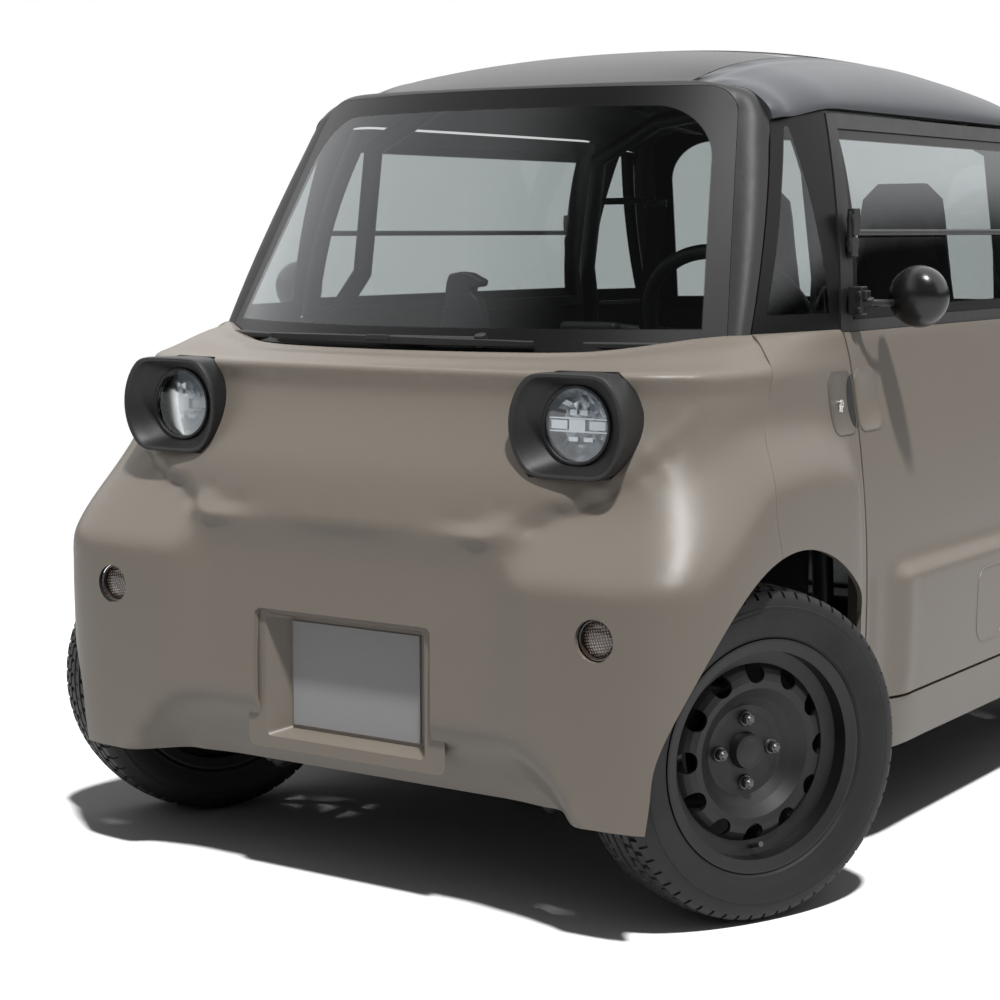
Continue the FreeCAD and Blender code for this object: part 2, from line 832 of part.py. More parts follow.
def windscreen():
    grid = []
    for z in spaced(screen_foot_z - 4, screen_top_z + 8, 12):
        reach = screen_edge_x(z) + 12
        grid.append([V(x, -screen_y(x, z), z) for x in spaced(-reach, reach, 21)])
    sheet_glass = slab(grid, V(0, glass_wall, 0))
    half = screen_side(seat_gap, 2, 9, 2)
    loop = [V(x, 0, z) for x, z in half] + [V(-x, 0, z) for x, z in reversed(half[:-1])]
    outline = Part.Face(Part.makePolygon(loop + [loop[0]]))
    prism = outline.extrude(V(0, -2 * half_length, 0))
    return sheet_glass.common(prism).cut(front_clip.Shape)


windshield = formed("windshield", windscreen())
piece("rear_window", mirror_of(windshield, Y_AXIS))

screen_header = 38


# Front edge of the roof, which runs forward to the pillar at its corner
def roof_front(x):
    top_x = screen_edge_x(screen_top_z)
    edge_y = screen_y(min(x, top_x), screen_top_z) - screen_header
    corner_gain = pillar_y(roof_line_z - roof_line_drop) - (screen_y(top_x, screen_top_z) - screen_header)
    return edge_y + corner_gain * smooth(top_x - 40, top_x + 60, x)


# Surround from the pillar's foot, round the top corner and along the header
def surround():
    pillar_count, arc_count, top_count = 11, 6, 9
    inner_line = []
    for x, z in screen_side(-seat_gap, pillar_count, arc_count, top_count):
        inner_line.append(V(x, -screen_y(x, z), z))
    outer_line = []
    roof_low = roof_line_z - roof_line_drop
    for z in spaced(screen_foot_z + 2, roof_low, pillar_count):
        y = pillar_y(z)
        outer_line.append(V(glass_x(y, z), -y, z))
    corner = outer_line[-1].x
    for x in spaced(corner, 0, arc_count + top_count - 1)[1:]:
        y = roof_front(x)
        outer_line.append(V(x, -y, roof_z(x, y)))
    centre = V(0, -300, 900)
    halves = []
    for first, second in zip(inner_line, outer_line):
        away = (first + second) * 0.5 - centre
        away.normalize()
        line = []
        for part in (0, 0.25, 0.5, 0.75, 1):
            line.append(first + (second - first) * part + away * (8 * math.sin(part * math.pi)))
        halves.append(line)
    right = [[V(-p.x, p.y, p.z) for p in line] for line in reversed(halves[:-1])]
    return skin(halves + right, size("roof_wall"), centre).cut(front_clip.Shape)


front_surround = formed("screen_surround_front", surround())
piece("screen_surround_rear", mirror_of(front_surround, Y_AXIS))


# Roof sides, and the glass between them
def roof_share_at(x, y):
    return math.asin((x / roof_edge_x(y)) ** (roof_power / 2)) / (math.pi / 2)


def roof_side(side):
    grid = []
    for along in spaced(-1, 1, 25):
        line = []
        for part in spaced(0, 1, 10):
            x = roof_glass_half
            for _ in range(3):
                y = along * (roof_front(x) - 3 * seam_gap)
                first = roof_share_at(roof_glass_half, y)
                x, z = roof_point(first + (0.999 - first) * part, y)
            line.append(V(side * x, y, z))
        grid.append(line)
    return skin(grid, size("roof_wall"), V(0, 0, 1000))


formed("roof_side_left", roof_side(1))
formed("roof_side_right", roof_side(-1))


def roof_glass():
    reach = roof_glass_half - 3 * seam_gap
    grid = []
    for along in spaced(-1, 1, 17):
        line = []
        for x in spaced(-reach, reach, 15):
            y = along * (roof_front(abs(x)) - seam_gap)
            line.append(V(x, y, roof_z(x, y)))
        grid.append(line)
    return slab(grid, V(0, 0, -glass_wall))


formed("roof_glass", roof_glass())

# Tubular frame: two rails that rise at the ends, a ring of side tubes and hoops over the cabin, and
# the cross tubes, belt tubes and suspension towers that join them
frame_end = 1040
frame_end_z = 250
kick_y = 990
cross_tube = size("cross_tube")
cross_y = 520
side_tube_x = 584
side_tube_z = 225
hoop_y = 440
shoulder_y = 500
hoop_low = V(524, hoop_y, 1050)
hoop_high = V(492, hoop_y, 1304)
hoop_bend_x = 330
hoop_bend_drop = 54
belt_corner = V(500, 850, 872)
belt_middle_y = 930
belt_drop = 60
nose_z = 640
nose_top = V(400, 880, 872)
tower_x = 465
tower_z = 660
link_set = 90


# Hoop over the cabin at one end, from the car's left side to its right
def hoop(end):
    top_z = roof_z(0, hoop_y) - glass_wall - tube - seat_gap
    bend_z = roof_z(hoop_bend_x, hoop_y) - hoop_bend_drop
    half = [
        V(side_tube_x, end * cross_y, side_tube_z), V(glass_x(hoop_y, belt) - 68, end * shoulder_y, belt),
        V(hoop_low.x, end * hoop_y, hoop_low.z), V(hoop_high.x, end * hoop_y, hoop_high.z),
        V(hoop_bend_x, end * hoop_y, bend_z), V(0, end * hoop_y, top_z),
    ]
    return half + [V(-point.x, point.y, point.z) for point in reversed(half[:-1])]


# Points given for the car's left, joined to the same points on its right
def across(points):
    return points + [V(-point.x, point.y, point.z) for point in reversed(points)]


def frame():
    middle = V(side_tube_x, 0, side_tube_z)
    shapes = tube_run([middle] + hoop(1) + hoop(-1)[::-1] + [middle], tube)
    for side in (-1, 1):
        rise = [V(side * rail_x, kick_y, rail_z), V(side * rail_x, frame_end, frame_end_z),
                V(side * rail_x, frame_end, nose_z), V(side * nose_top.x, nose_top.y, nose_top.z)]
        shapes += tube_run([V(point.x, -point.y, point.z) for point in reversed(rise)] + rise, tube)
    for end in (-1, 1):
        shoulder = hoop(end)[1]
        runs = [
            across([shoulder - V(0, 0, belt_drop), V(belt_corner.x, end * belt_corner.y, belt_corner.z)]),
            across([V(side_tube_x, end * cross_y, side_tube_z), V(rail_x, end * cross_y, rail_z)]),
            across([V(rail_x, end * frame_end, frame_end_z)]),
            across([V(rail_x, end * (axle_y - link_set), rail_z)]),
            across([V(rail_x, end * (axle_y + link_set), rail_z)]),
        ]
        runs[0].insert(2, V(0, end * belt_middle_y, belt_corner.z))
        for side in (-1, 1):
            runs.append([V(side * rail_x, end * axle_y, rail_z), V(side * rail_x, end * axle_y, tower_z),
                         V(side * (tower_x + tube), end * axle_y, tower_z)])
        for run in runs:
            shapes += tube_run(run, cross_tube)
    return fused(shapes)


formed("frame", frame())

# Floor: one folded sheet with the footwell and the rear bulkhead
floor_half_x = 552
floor_half_y = 470
toe_board_y = 538
bulkhead_y = size("rider_seat_y") + 52
bulkhead_low = 420
bulkhead_top = 640
anchor_half_x = 90
anchor_half_y = 32
anchor_wall = 4


def floor_pan():
    wall = size("floor_wall")
    outer, inner = [], []
    for y, z in ((-toe_board_y, bulkhead_top), (-toe_board_y, bulkhead_low), (-floor_half_y, floor_z),
                 (floor_half_y, floor_z), (bulkhead_y, bulkhead_low), (bulkhead_y, bulkhead_top)):
        outer.append(V(-floor_half_x, y, z))
        lift = wall if z == floor_z else 0
        inner.append(V(-floor_half_x, y - math.copysign(wall, y), z + lift))
    loop = outer + inner[::-1]
    face = Part.Face(Part.makePolygon(loop + [loop[0]]))
    sheet = face.extrude(V(2 * floor_half_x, 0, 0))
    sheet = sheet.cut([arch_cutter(side, 1) for side in (-1, 1)])
    anchor_y = size("driver_seat_y") - anchor_half_y
    anchor = box(size("driver_seat_x") - anchor_half_x, size("driver_seat_x") + anchor_half_x,
                 anchor_y - anchor_half_y, anchor_y + anchor_half_y, floor_z, floor_z + wall + anchor_wall)
    return sheet.fuse(anchor)


formed("floor_pan", floor_pan())

# Drive unit and battery, each as one plain block
rail_top = "rail_height + frame_tube + seat_gap"
cross_top = "rail_height + cross_tube + seat_gap"
floor_top = rail_top + " + floor_wall + seat_gap"
piece("motor_block", block("-motor_width / 2", "motor_width / 2", "-wheelbase / 2 - motor_length / 2",
                           "-wheelbase / 2 + motor_length / 2", cross_top, cross_top + " + motor_height"))
piece("battery_box", block("rider_seat_x - battery_width / 2", "rider_seat_x + battery_width / 2",
                           "rider_seat_y - 90 - battery_length", "rider_seat_y - 90",
                           floor_top, floor_top + " + battery_height"))

# Wheels, drawn about their own axis: X outward, the middle of the tyre at 0
tyre_r = size("tyre_radius")
half_tyre = size("tyre_width") / 2
rim_r = size("rim_radius")
half_rim = size("rim_width") / 2
seat_r = rim_r - 17
well_r = rim_r - 42
rim_wall = 4
spindle_r = size("spindle_radius")
bore_r = spindle_r + size("running_fit")
brake_r = size("brake_radius")
hub_r = 28
hub_face = 8
spindle_end = 0
front_brake_back = -22
rear_brake_back = -40
brake_front = -12


def turned(points):
    wire = Part.makePolygon([V(x, 0, r) for x, r in points + [points[0]]])
    return Part.Face(wire).revolve(V(0, 0, 0), X_AXIS, 360)


def tyre_shape():
    half = [
        (half_rim - 8.5, seat_r + seat_gap), (half_rim - 6.5, rim_r + 2), (half_tyre, (rim_r + tyre_r) / 2 + 4),
        (half_tyre - 26, tyre_r),
    ]
    return turned(half + [(-x, r) for x, r in reversed(half)])


def rim_shape(brake_back):
    back = [
        (spindle_end + 3, bore_r), (brake_back - 2, bore_r), (brake_back - 2, hub_r), (brake_back, hub_r),
        (brake_back, brake_r), (brake_front, brake_r), (brake_front, hub_r), (hub_face - 6, hub_r),
        (hub_face - 6, 66), (4, 77), (16, 94), (31, 110), (34, 122), (30, 133), (14, well_r - rim_wall),
    ]
    barrel_inside = [
        (-half_rim + 42, well_r - rim_wall), (-half_rim + 30, seat_r - rim_wall), (-half_rim + 6, seat_r - rim_wall),
        (-half_rim, rim_r - rim_wall),
    ]
    barrel_outside = [
        (-half_rim, rim_r), (-half_rim + 4, rim_r), (-half_rim + 8, seat_r), (-half_rim + 30, seat_r),
        (-half_rim + 44, well_r), (half_rim - 44, well_r), (half_rim - 34, seat_r), (half_rim - 8, seat_r),
        (half_rim - 4, rim_r), (half_rim, rim_r), (half_rim, rim_r - rim_wall), (half_rim - 6, seat_r - rim_wall),
        (half_rim - 33, seat_r - rim_wall - 1),
    ]
    front = [
        (24, 149), (31, 142), (37, 134), (40, 122), (37, 109), (22, 92), (10, 76), (hub_face, 64),
        (hub_face, 31), (24, 28), (26, 20), (26, 0), (spindle_end + 3, 0),
    ]
    disc = turned(back + barrel_inside + barrel_outside + front)
    vents = []
    vent_count = int(size("vent_count"))
    for k in range(vent_count):
        vent = Part.makeCylinder(size("vent_radius"), 60, V(0, 0, 136), X_AXIS)
        vent.rotate(V(0, 0, 0), X_AXIS, 360 * k / vent_count)
        vents.append(vent)
    barrel_keep = turned([(-half_rim, well_r - rim_wall - 0.5), (-half_rim, rim_r), (half_rim, rim_r),
                          (half_rim, well_r - rim_wall - 0.5)])
    disc = disc.cut([vent.cut(barrel_keep) for vent in vents])
    bolts = []
    for k in range(4):
        bolt = Part.makeCylinder(9.5, 12, V(hub_face - 2, 0, size("bolt_circle")), X_AXIS)
        bolt.rotate(V(0, 0, 0), X_AXIS, 90 * k)
        bolts.append(bolt)
    return disc.multiFuse(bolts)


# Shape drawn about a wheel's axis, brought to its corner of the car; the front ones stand steered
def at_wheel(shape, side, end):
    shape = shape.copy()
    if side < 0:
        shape = mirrored(shape, X_AXIS)
    shape.translate(V(side * size("half_track"), end * axle_y, hub_z))
    if end < 0:
        shape.rotate(V(side * size("kingpin_offset"), -axle_y, 0), Z_AXIS, -size("rest_steer"))
    return shape


tyre_template = tyre_shape()
rim_templates = {-1: rim_shape(front_brake_back), 1: rim_shape(rear_brake_back)}
for end, end_name in ENDS:
    for side, side_name in SIDES:
        formed("tyre_%s_%s" % (end_name, side_name), at_wheel(tyre_template, side, end))
        formed("rim_%s_%s" % (end_name, side_name), at_wheel(rim_templates[end], side, end))

# Steering knuckle: an upright on the kingpin with the spindle and the brake caliper
kingpin = size("kingpin_offset") - size("half_track")
upright_r = 18
upright_half = 72
stud_r = 8
stud_reach = 22
boss_end = front_brake_back - 8


def knuckle():
    upright = Part.makeCylinder(upright_r, 2 * upright_half, V(kingpin, 0, -upright_half), Z_AXIS)
    boss = Part.makeCylinder(hub_r - 2, boss_end - kingpin, V(kingpin, 0, 0), X_AXIS)
    spindle = Part.makeCylinder(spindle_r, spindle_end - kingpin, V(kingpin, 0, 0), X_AXIS)
    bracket = box(kingpin - 4, boss_end, 0, brake_r - 5, -16, 16)
    caliper = box(boss_end - 4, brake_front + 10, brake_r - 27, brake_r + 17, -35, 35)
    slot = box(front_brake_back - shut_gap, brake_front + shut_gap, 0, brake_r + 7, -60, 60)
    solid = fused([upright, boss, spindle, bracket, caliper.cut(slot)])
    bores = []
    for z in (-upright_half, upright_half - stud_reach):
        bores.append(Part.makeCylinder(stud_r + size("running_fit"), stud_reach, V(kingpin, 0, z), Z_AXIS))
    return solid.cut(bores)


for side, side_name in SIDES:
    formed("knuckle_%s" % side_name, at_wheel(knuckle(), side, -1))

# Front suspension on each side: a lower arm with its ball stud, and a strut with its upper stud
arm_r = 13
arm_z = -98
link_z = 98
strut_r = 22
spring_r = 36
strut_top = tower_z - cross_tube - seat_gap
stud_space = 2


def front_suspension():
    x = size("kingpin_offset")
    pivot_x = rail_x + tube + arm_r + seat_gap
    joint = V(x, -axle_y, hub_z + arm_z)
    front_pivot = V(pivot_x, -axle_y - 100, rail_z)
    rear_pivot = V(pivot_x, -axle_y + 110, rail_z)
    shapes = tube_run([front_pivot, joint, rear_pivot], arm_r)
    for pivot in (front_pivot, rear_pivot):
        shapes.append(Part.makeCylinder(arm_r, 44, pivot - V(0, 22, 0), Y_AXIS))
    stud_end = hub_z - upright_half + stud_reach - stud_space
    shapes.append(Part.makeCylinder(stud_r, stud_end - joint.z, joint, Z_AXIS))
    lower = fused(shapes)
    knee = V(tower_x, -axle_y, hub_z + link_z)
    shapes = tube_run([V(x, -axle_y, knee.z), knee], arm_r)
    stud_low = hub_z + upright_half - stud_reach + stud_space
    shapes.append(Part.makeSphere(arm_r, V(x, -axle_y, knee.z)))
    shapes.append(Part.makeCylinder(stud_r, knee.z - stud_low, V(x, -axle_y, stud_low), Z_AXIS))
    shapes.append(Part.makeCylinder(strut_r, strut_top - knee.z + 18, knee - V(0, 0, 18), Z_AXIS))
    shapes.append(Part.makeCylinder(spring_r, 150, V(tower_x, -axle_y, strut_top - 190), Z_AXIS))
    return Part.makeCompound([lower, fused(shapes)])


# Rear suspension on each side: a trailing arm with its spindle, brake plate and damper
rear_pivot_y = 600
arm_x = 500
plate_front = rear_brake_back - 8


def rear_suspension():
    pivot_x = rail_x + tube + seat_gap
    stub = size("half_track") + plate_front
    centre = V(arm_x, axle_y, hub_z)
    shapes = tube_run([V(pivot_x, rear_pivot_y, rail_z), V(arm_x - 60, rear_pivot_y, rail_z),
                       V(arm_x, rear_pivot_y + 80, rail_z + 60), centre], strut_r)
    shapes.append(Part.makeSphere(strut_r + 6, centre))
    shapes.append(Part.makeCylinder(hub_r, stub - arm_x, centre, X_AXIS))
    shapes.append(Part.makeCylinder(brake_r, 8, V(stub - 8, axle_y, hub_z), X_AXIS))
    shapes.append(Part.makeCylinder(spindle_r, size("half_track") + spindle_end - stub, V(stub, axle_y, hub_z), X_AXIS))
    shapes.append(Part.makeCylinder(strut_r, strut_top - hub_z, V(tower_x, axle_y, hub_z), Z_AXIS))
    shapes.append(Part.makeCylinder(spring_r, 150, V(tower_x, axle_y, strut_top - 190), Z_AXIS))
    return fused(shapes)


for name, shape in (("front_suspension", front_suspension()), ("rear_suspension", rear_suspension())):
    formed(name, Part.makeCompound([shape, mirrored(shape, X_AXIS)]))


# Lamps: the housings, and the lenses in them
def at_both_ends(label, maker):
    shapes = []
    for side in (-1, 1):
        shape = maker(side)
        shapes += [shape, mirrored(shape, Y_AXIS)]
    return formed(label, Part.makeCompound(shapes))


at_both_ends("lamp_bezels", lambda side: bezel(side * lamp_x))


def lamp(radius, depth, x, front, height):
    lens = primitive("Cylinder", (radius, depth), (x, "-(%s)" % front, height), Y_AXIS)
    lens_left = mirror_of(lens, X_AXIS)
    return [lens, lens_left, mirror_of(lens, Y_AXIS), mirror_of(lens_left, Y_AXIS)]


gathered("lamp_lenses", lamp("lamp_radius", lens_depth, "lamp_offset", lens_y, "lamp_height"))
indicator_front = face_y(size("indicator_offset"), size("indicator_height")) - 10
gathered("indicators", lamp("indicator_radius", 30, "indicator_offset", indicator_front, "indicator_height"))

# Number plates, blank, on the floor of their recesses
plate_blank = block("-plate_width / 2", "plate_width / 2", -plate_y - 3 - seat_gap, -plate_y - seat_gap,
                    "plate_centre - plate_height / 2", "plate_centre + plate_height / 2")
gathered("number_plates", [plate_blank, mirror_of(plate_blank, Y_AXIS)])

# Steering column and wheel
wheel_centre = V(size("wheel_offset"), -size("wheel_ahead"), size("wheel_height"))
tilt = math.radians(size("wheel_tilt"))
column_axis = V(0, -math.cos(tilt), -math.sin(tilt))
boss_radius = 48
boss_depth = 44
ring_tube = 14
shaft_radius = 10
shaft_reach = 60
column_start = boss_depth + shut_gap - 2
column_length = 235


def steering_column():
    start = wheel_centre + column_axis * column_start
    body = Part.makeCylinder(size("column_radius"), column_length, start, column_axis)
    bore = Part.makeCylinder(shaft_radius + size("running_fit"), shaft_reach, start, column_axis)
    return body.cut(bore)


def steering_wheel():
    shapes = [
        Part.makeTorus(size("wheel_ring"), ring_tube, wheel_centre, column_axis),
        Part.makeCylinder(boss_radius, boss_depth, wheel_centre, column_axis),
        Part.makeCylinder(shaft_radius, column_start + shaft_reach - 4, wheel_centre, column_axis),
    ]
    hub = wheel_centre + column_axis * ring_tube
    for angle in (0, 180, 270):
        spoke = Part.makeCylinder(ring_tube - 2, size("wheel_ring"), hub, X_AXIS)
        spoke.rotate(hub, column_axis, angle)
        shapes.append(spoke)
    return fused(shapes)


formed("steering_column", steering_column())
formed("steering_wheel", steering_wheel())


# Dashboard: a hollow shelf right across the car, between the belt braces, open above
tray_wall = 30


def dashboard():
    shoulder_x = glass_x(hoop_y, belt) - 68
    slope = (shoulder_x - belt_corner.x) / (belt_corner.y - shoulder_y)
    back = -size("dash_ahead")
    front = back - size("dash_depth")
    brace_x = belt_corner.x + slope * (belt_corner.y + front)
    half = brace_x - (tube + seat_gap) * math.hypot(1, slope)
    body = box(-half, half, front, back, size("dash_low"), size("dash_high"))
    tray = box(-half + tray_wall, half - tray_wall, front + tray_wall, back - tray_wall,
               size("dash_low") + tray_wall, size("dash_high") + 1)
    hole = Part.makeCylinder(size("column_radius") + seat_gap, 2 * column_length, wheel_centre, column_axis)
    return body.cut([tray, hole])


formed("dashboard", dashboard())

# Seats: moulded shells on two legs, with soft pads on them
seat_half = size("seat_half")
seat_z = size("seat_height")
shell_wall = 30
shell_top = 1020
head_half = 105
head_top = 1240


def seat_shell(x, y):
    shapes = [
        box(x - seat_half, x + seat_half, y - 430, y + 20, seat_z, seat_z + shell_wall),
        box(x - seat_half + 10, x + seat_half - 10, y - 10, y + 20, seat_z, shell_top),
        box(x - head_half, x + head_half, y - 10, y + 20, shell_top - 20, head_top),
    ]
    leg_low = floor_z + size("floor_wall") + seat_gap
    for leg_x in (x - seat_half + 15, x + seat_half - 45):
        shapes.append(box(leg_x, leg_x + 30, y - 400, y - 110, leg_low, seat_z + 5))
    return fused(shapes)


def seat_pads(x, y):
    pad_back = y - 10 - seat_gap
    return Part.makeCompound([
        box(x - 185, x + 185, y - 420, y - 50, seat_z + shell_wall + seat_gap, seat_z + 90),
        box(x - 160, x + 160, y - 45, pad_back, seat_z + 95, shell_top - 60),
        box(x - 85, x + 85, y - 40, pad_back, shell_top + 30, head_top - 20),
    ])


SEATS = (
    (size("driver_seat_x"), size("driver_seat_y"), "left"),
    (size("rider_seat_x"), size("rider_seat_y"), "right"),
)
for x, y, name in SEATS:
    formed("seat_%s" % name, seat_shell(x, y))
    formed("seat_pads_%s" % name, seat_pads(x, y))


# Door mirror: a round shell on an arm, clamped to the door's window frame
def door_mirror(side):
    centre = V(size("mirror_offset"), -size("mirror_ahead"), size("mirror_height"))
    ball = Part.makeSphere(size("mirror_radius"), centre)
    shell = ball.common(box(centre.x - 80, centre.x + 80, centre.y - 40, centre.y + 12, centre.z - 80, centre.z + 80))
    clamp_low, clamp_high = centre.z - 34, centre.z + 18
    clamp_front = 4 - shut_y(clamp_high)
    clamp_x = glass_x(clamp_front + frame_rail - 6, clamp_low) + 2 * seam_gap
    clamp = box(clamp_x, clamp_x + 34, clamp_front, clamp_front + frame_rail - 6, clamp_low, clamp_high)
    grip = V(clamp_x + 20, clamp_front + frame_rail / 2, centre.z - 8)
    result = fused([shell, clamp] + tube_run([grip, centre], 7))
    return result if side > 0 else mirrored(result, X_AXIS)


formed("mirror_left", door_mirror(1))
formed("mirror_right", door_mirror(-1))


# Wiper at the foot of the windscreen
def wiper():
    z = screen_foot_z + 24
    points = [V(x, -screen_y(x, z) - 10, z) for x in (-330, -180, -30, 120, 260)]
    pivot = V(60, -screen_y(60, z) - 24, z - 10)
    arm = tube_run([pivot, V(-30, -screen_y(-30, z) - 16, z + 4)], 6)
    return fused(tube_run(points, 5) + arm)


formed("wiper", wiper())

doc.recompute()
for obj in doc.Objects:
    if "Invalid" in obj.State or "Error" in obj.State:
        raise RuntimeError("%s is not computed: %s" % (obj.Label, obj.State))
for obj in pieces:
    if obj.Shape.isNull() or not obj.Shape.isValid():
        raise RuntimeError("%s has no valid shape" % obj.Label)
for obj in pieces:
    obj.Shape.exportStep("parts/%s.step" % obj.Label)
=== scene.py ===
import json
import math

import bmesh
import bpy
from mathutils import Matrix, Vector


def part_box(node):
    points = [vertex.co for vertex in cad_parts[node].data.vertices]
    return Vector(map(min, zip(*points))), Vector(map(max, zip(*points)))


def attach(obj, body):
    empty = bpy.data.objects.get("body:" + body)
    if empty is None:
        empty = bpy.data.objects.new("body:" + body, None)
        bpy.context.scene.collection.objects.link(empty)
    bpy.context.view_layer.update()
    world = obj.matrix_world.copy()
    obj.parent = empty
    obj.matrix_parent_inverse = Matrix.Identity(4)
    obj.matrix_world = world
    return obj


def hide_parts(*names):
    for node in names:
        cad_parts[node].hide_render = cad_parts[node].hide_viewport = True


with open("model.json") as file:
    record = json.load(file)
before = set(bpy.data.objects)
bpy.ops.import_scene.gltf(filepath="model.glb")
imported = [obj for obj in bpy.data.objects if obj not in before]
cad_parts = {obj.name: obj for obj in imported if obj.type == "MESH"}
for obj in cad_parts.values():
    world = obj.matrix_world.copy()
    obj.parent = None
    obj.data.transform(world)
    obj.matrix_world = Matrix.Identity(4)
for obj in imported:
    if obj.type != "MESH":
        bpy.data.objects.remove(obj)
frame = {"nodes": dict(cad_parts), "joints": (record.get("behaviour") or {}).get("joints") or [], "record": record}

bl_info = {
    "name": "Microcar",
    "version": (1, 0, 0),
    "blender": (4, 5, 0),
    "location": "3D View > Sidebar > Microcar",
    "description": "Finishes and fine parts of a two-seat microcar",
    "category": "Object",
}

X_AXIS = Vector((1, 0, 0))
ENDS = ((-1, "front"), (1, "rear"))
SIDES = ((1, "left"), (-1, "right"))
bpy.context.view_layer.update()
joint_named = {joint["name"]: joint for joint in frame["joints"]}


class Wire:
    """A node's output; arithmetic on it adds Math nodes to the same tree."""

    def __init__(self, tree, socket):
        self.tree = tree
        self.socket = socket

    def math(self, operation, *values):
        node = self.tree.nodes.new("ShaderNodeMath")
        node.operation = operation
        for slot, value in zip(node.inputs, values):
            plug(self.tree, slot, value)
        return Wire(self.tree, node.outputs[0])

    def __add__(self, other):
        return self.math("ADD", self, other)

    def __radd__(self, other):
        return self.math("ADD", other, self)

    def __sub__(self, other):
        return self.math("SUBTRACT", self, other)

    def __rsub__(self, other):
        return self.math("SUBTRACT", other, self)

    def __mul__(self, other):
        return self.math("MULTIPLY", self, other)

    def __rmul__(self, other):
        return self.math("MULTIPLY", other, self)

    def __truediv__(self, other):
        return self.math("DIVIDE", self, other)

    def __pow__(self, other):
        return self.math("POWER", self, other)

    def __abs__(self):
        return self.math("ABSOLUTE", self)

    def most(self, other):
        return self.math("MAXIMUM", self, other)

    def least(self, other):
        return self.math("MINIMUM", self, other)

    def smooth(self, low, high):
        """Smooth step from 0 at low to 1 at high."""
        node = self.tree.nodes.new("ShaderNodeMapRange")
        node.interpolation_type = "SMOOTHSTEP"
        for slot, value in zip(node.inputs, (self, low, high, 0.0, 1.0)):
            plug(self.tree, slot, value)
        return Wire(self.tree, node.outputs[0])


def plug(tree, slot, value):
    if isinstance(value, Wire):
        tree.links.new(value.socket, slot)
    elif slot.type == "RGBA" and len(value) == 3:
        slot.default_value = (*value, 1.0)
    else:
        slot.default_value = value


class Graph:
    """A node tree of the scene's own, empty to start with."""

    def __init__(self, owner):
        owner.use_nodes = True
        self.tree = owner.node_tree
        self.tree.nodes.clear()

    def node(self, kind, settings=None, sockets=None, output=0):
        """One node of a type: its settings are set first, then the values or links of its sockets."""
        node = self.tree.nodes.new("ShaderNode" + kind)
        for key, value in (settings or {}).items():
            if key == "stops":
                for stop, (place, colour) in zip(node.color_ramp.elements, value):
                    stop.position = place
                    stop.color = (*colour, 1.0)
            else:
                setattr(node, key, value)
        for key, value in (sockets or {}).items():
            plug(self.tree, node.inputs[key], value)
        return Wire(self.tree, node.outputs[output])

    def axes(self, vector):
        return [self.node("SeparateXYZ", None, {0: vector}, k) for k in range(3)]

    def ray(self, *kinds):
        """1 where the ray is of one of the kinds, such as Camera."""
        first, *others = [self.node("LightPath", output="Is %s Ray" % kind) for kind in kinds]
        for other in others:
            first = first.most(other)
        return first

    def finish_at(self, kind, shader):
        """Sends the shader to the tree's output node, of the kind Material or World."""
        output = self.tree.nodes.new("ShaderNodeOutput" + kind)
        self.tree.links.new(shader.socket, output.inputs[0])


class Finish(Graph):
    """A material with its node tree."""

    def __init__(self, name):
        self.material = bpy.data.materials.new(name)
        super().__init__(self.material)

    def place(self):
        return self.node("NewGeometry", output="Position")

    def normal(self):
        return self.node("NewGeometry", output="Normal")

    def object_place(self):
        return self.node("TexCoord", output="Object")

    def wave(self, value, pitch):
        return self.node("Math", {"operation": "SINE"}, {0: value * pitch})

    def noise(self, scale, detail=3.0, vector=None, rough=0.5):
        sockets = {"Vector": vector or self.object_place(), "Scale": scale, "Detail": detail, "Roughness": rough}
        return self.node("TexNoise", None, sockets, 0)

    def mix(self, first, second, factor):
        return self.node("Mix", {"data_type": "RGBA"}, {0: factor, 6: first, 7: second}, 2)

    def bump(self, height, distance, strength=1.0):
        return self.node("Bump", None, {"Strength": strength, "Distance": distance, "Height": height})

    def surface(self, **sockets):
        """Principled shader; an argument such as base_color is the socket Base Color."""
        named = {key.replace("_", " ").title().replace("Ior", "IOR"): value for key, value in sockets.items()}
        return self.node("BsdfPrincipled", None, named)

    def end(self, shader):
        self.finish_at("Material", shader)
        return self.material


def shade(colour, factor):
    return tuple(channel * factor for channel in colour)


# Finishes

def panel_finish(name, colour, inside, roughness=0.4):
    """Through-coloured moulded panel: satin outside, dark trim on the faces that look into the cabin."""
    finish = Finish(name)
    cloud = finish.noise(2.6, 3.0)
    grain = finish.noise(420.0, 2.0)
    outer = finish.mix(shade(colour, 0.965), shade(colour, 1.035), cloud)
    x, y, z = finish.axes(finish.place())
    nx, ny, nz = finish.axes(finish.normal())
    facing = nx * x * 3.0 + ny * y * 1.4 + nz * (z - 0.35)
    inward = 1.0 - facing.smooth(-0.14, -0.04)
    base = finish.mix(outer, inside, inward)
    rough = roughness + 0.05 * cloud + 0.2 * inward
    bump = finish.bump(grain + 0.3 * finish.noise(90.0, 2.0), 0.00006, 0.6)
    return finish.end(finish.surface(base_color=base, roughness=rough, normal=bump))


def grained_plastic(name, colour, roughness=0.5, grain=260.0, depth=0.00012):
    """Moulded plastic with a fine leather grain."""
    finish = Finish(name)
    cell = finish.node("TexVoronoi", {"feature": "SMOOTH_F1"}, {"Vector": finish.object_place(), "Scale": grain}, 0)
    cloud = finish.noise(6.0, 4.0)
    base = finish.mix(shade(colour, 0.86), shade(colour, 1.16), cloud)
    rough = roughness - 0.05 + 0.12 * finish.noise(24.0, 3.0)
    return finish.end(finish.surface(base_color=base, roughness=rough, normal=finish.bump(cell, depth, 0.7)))


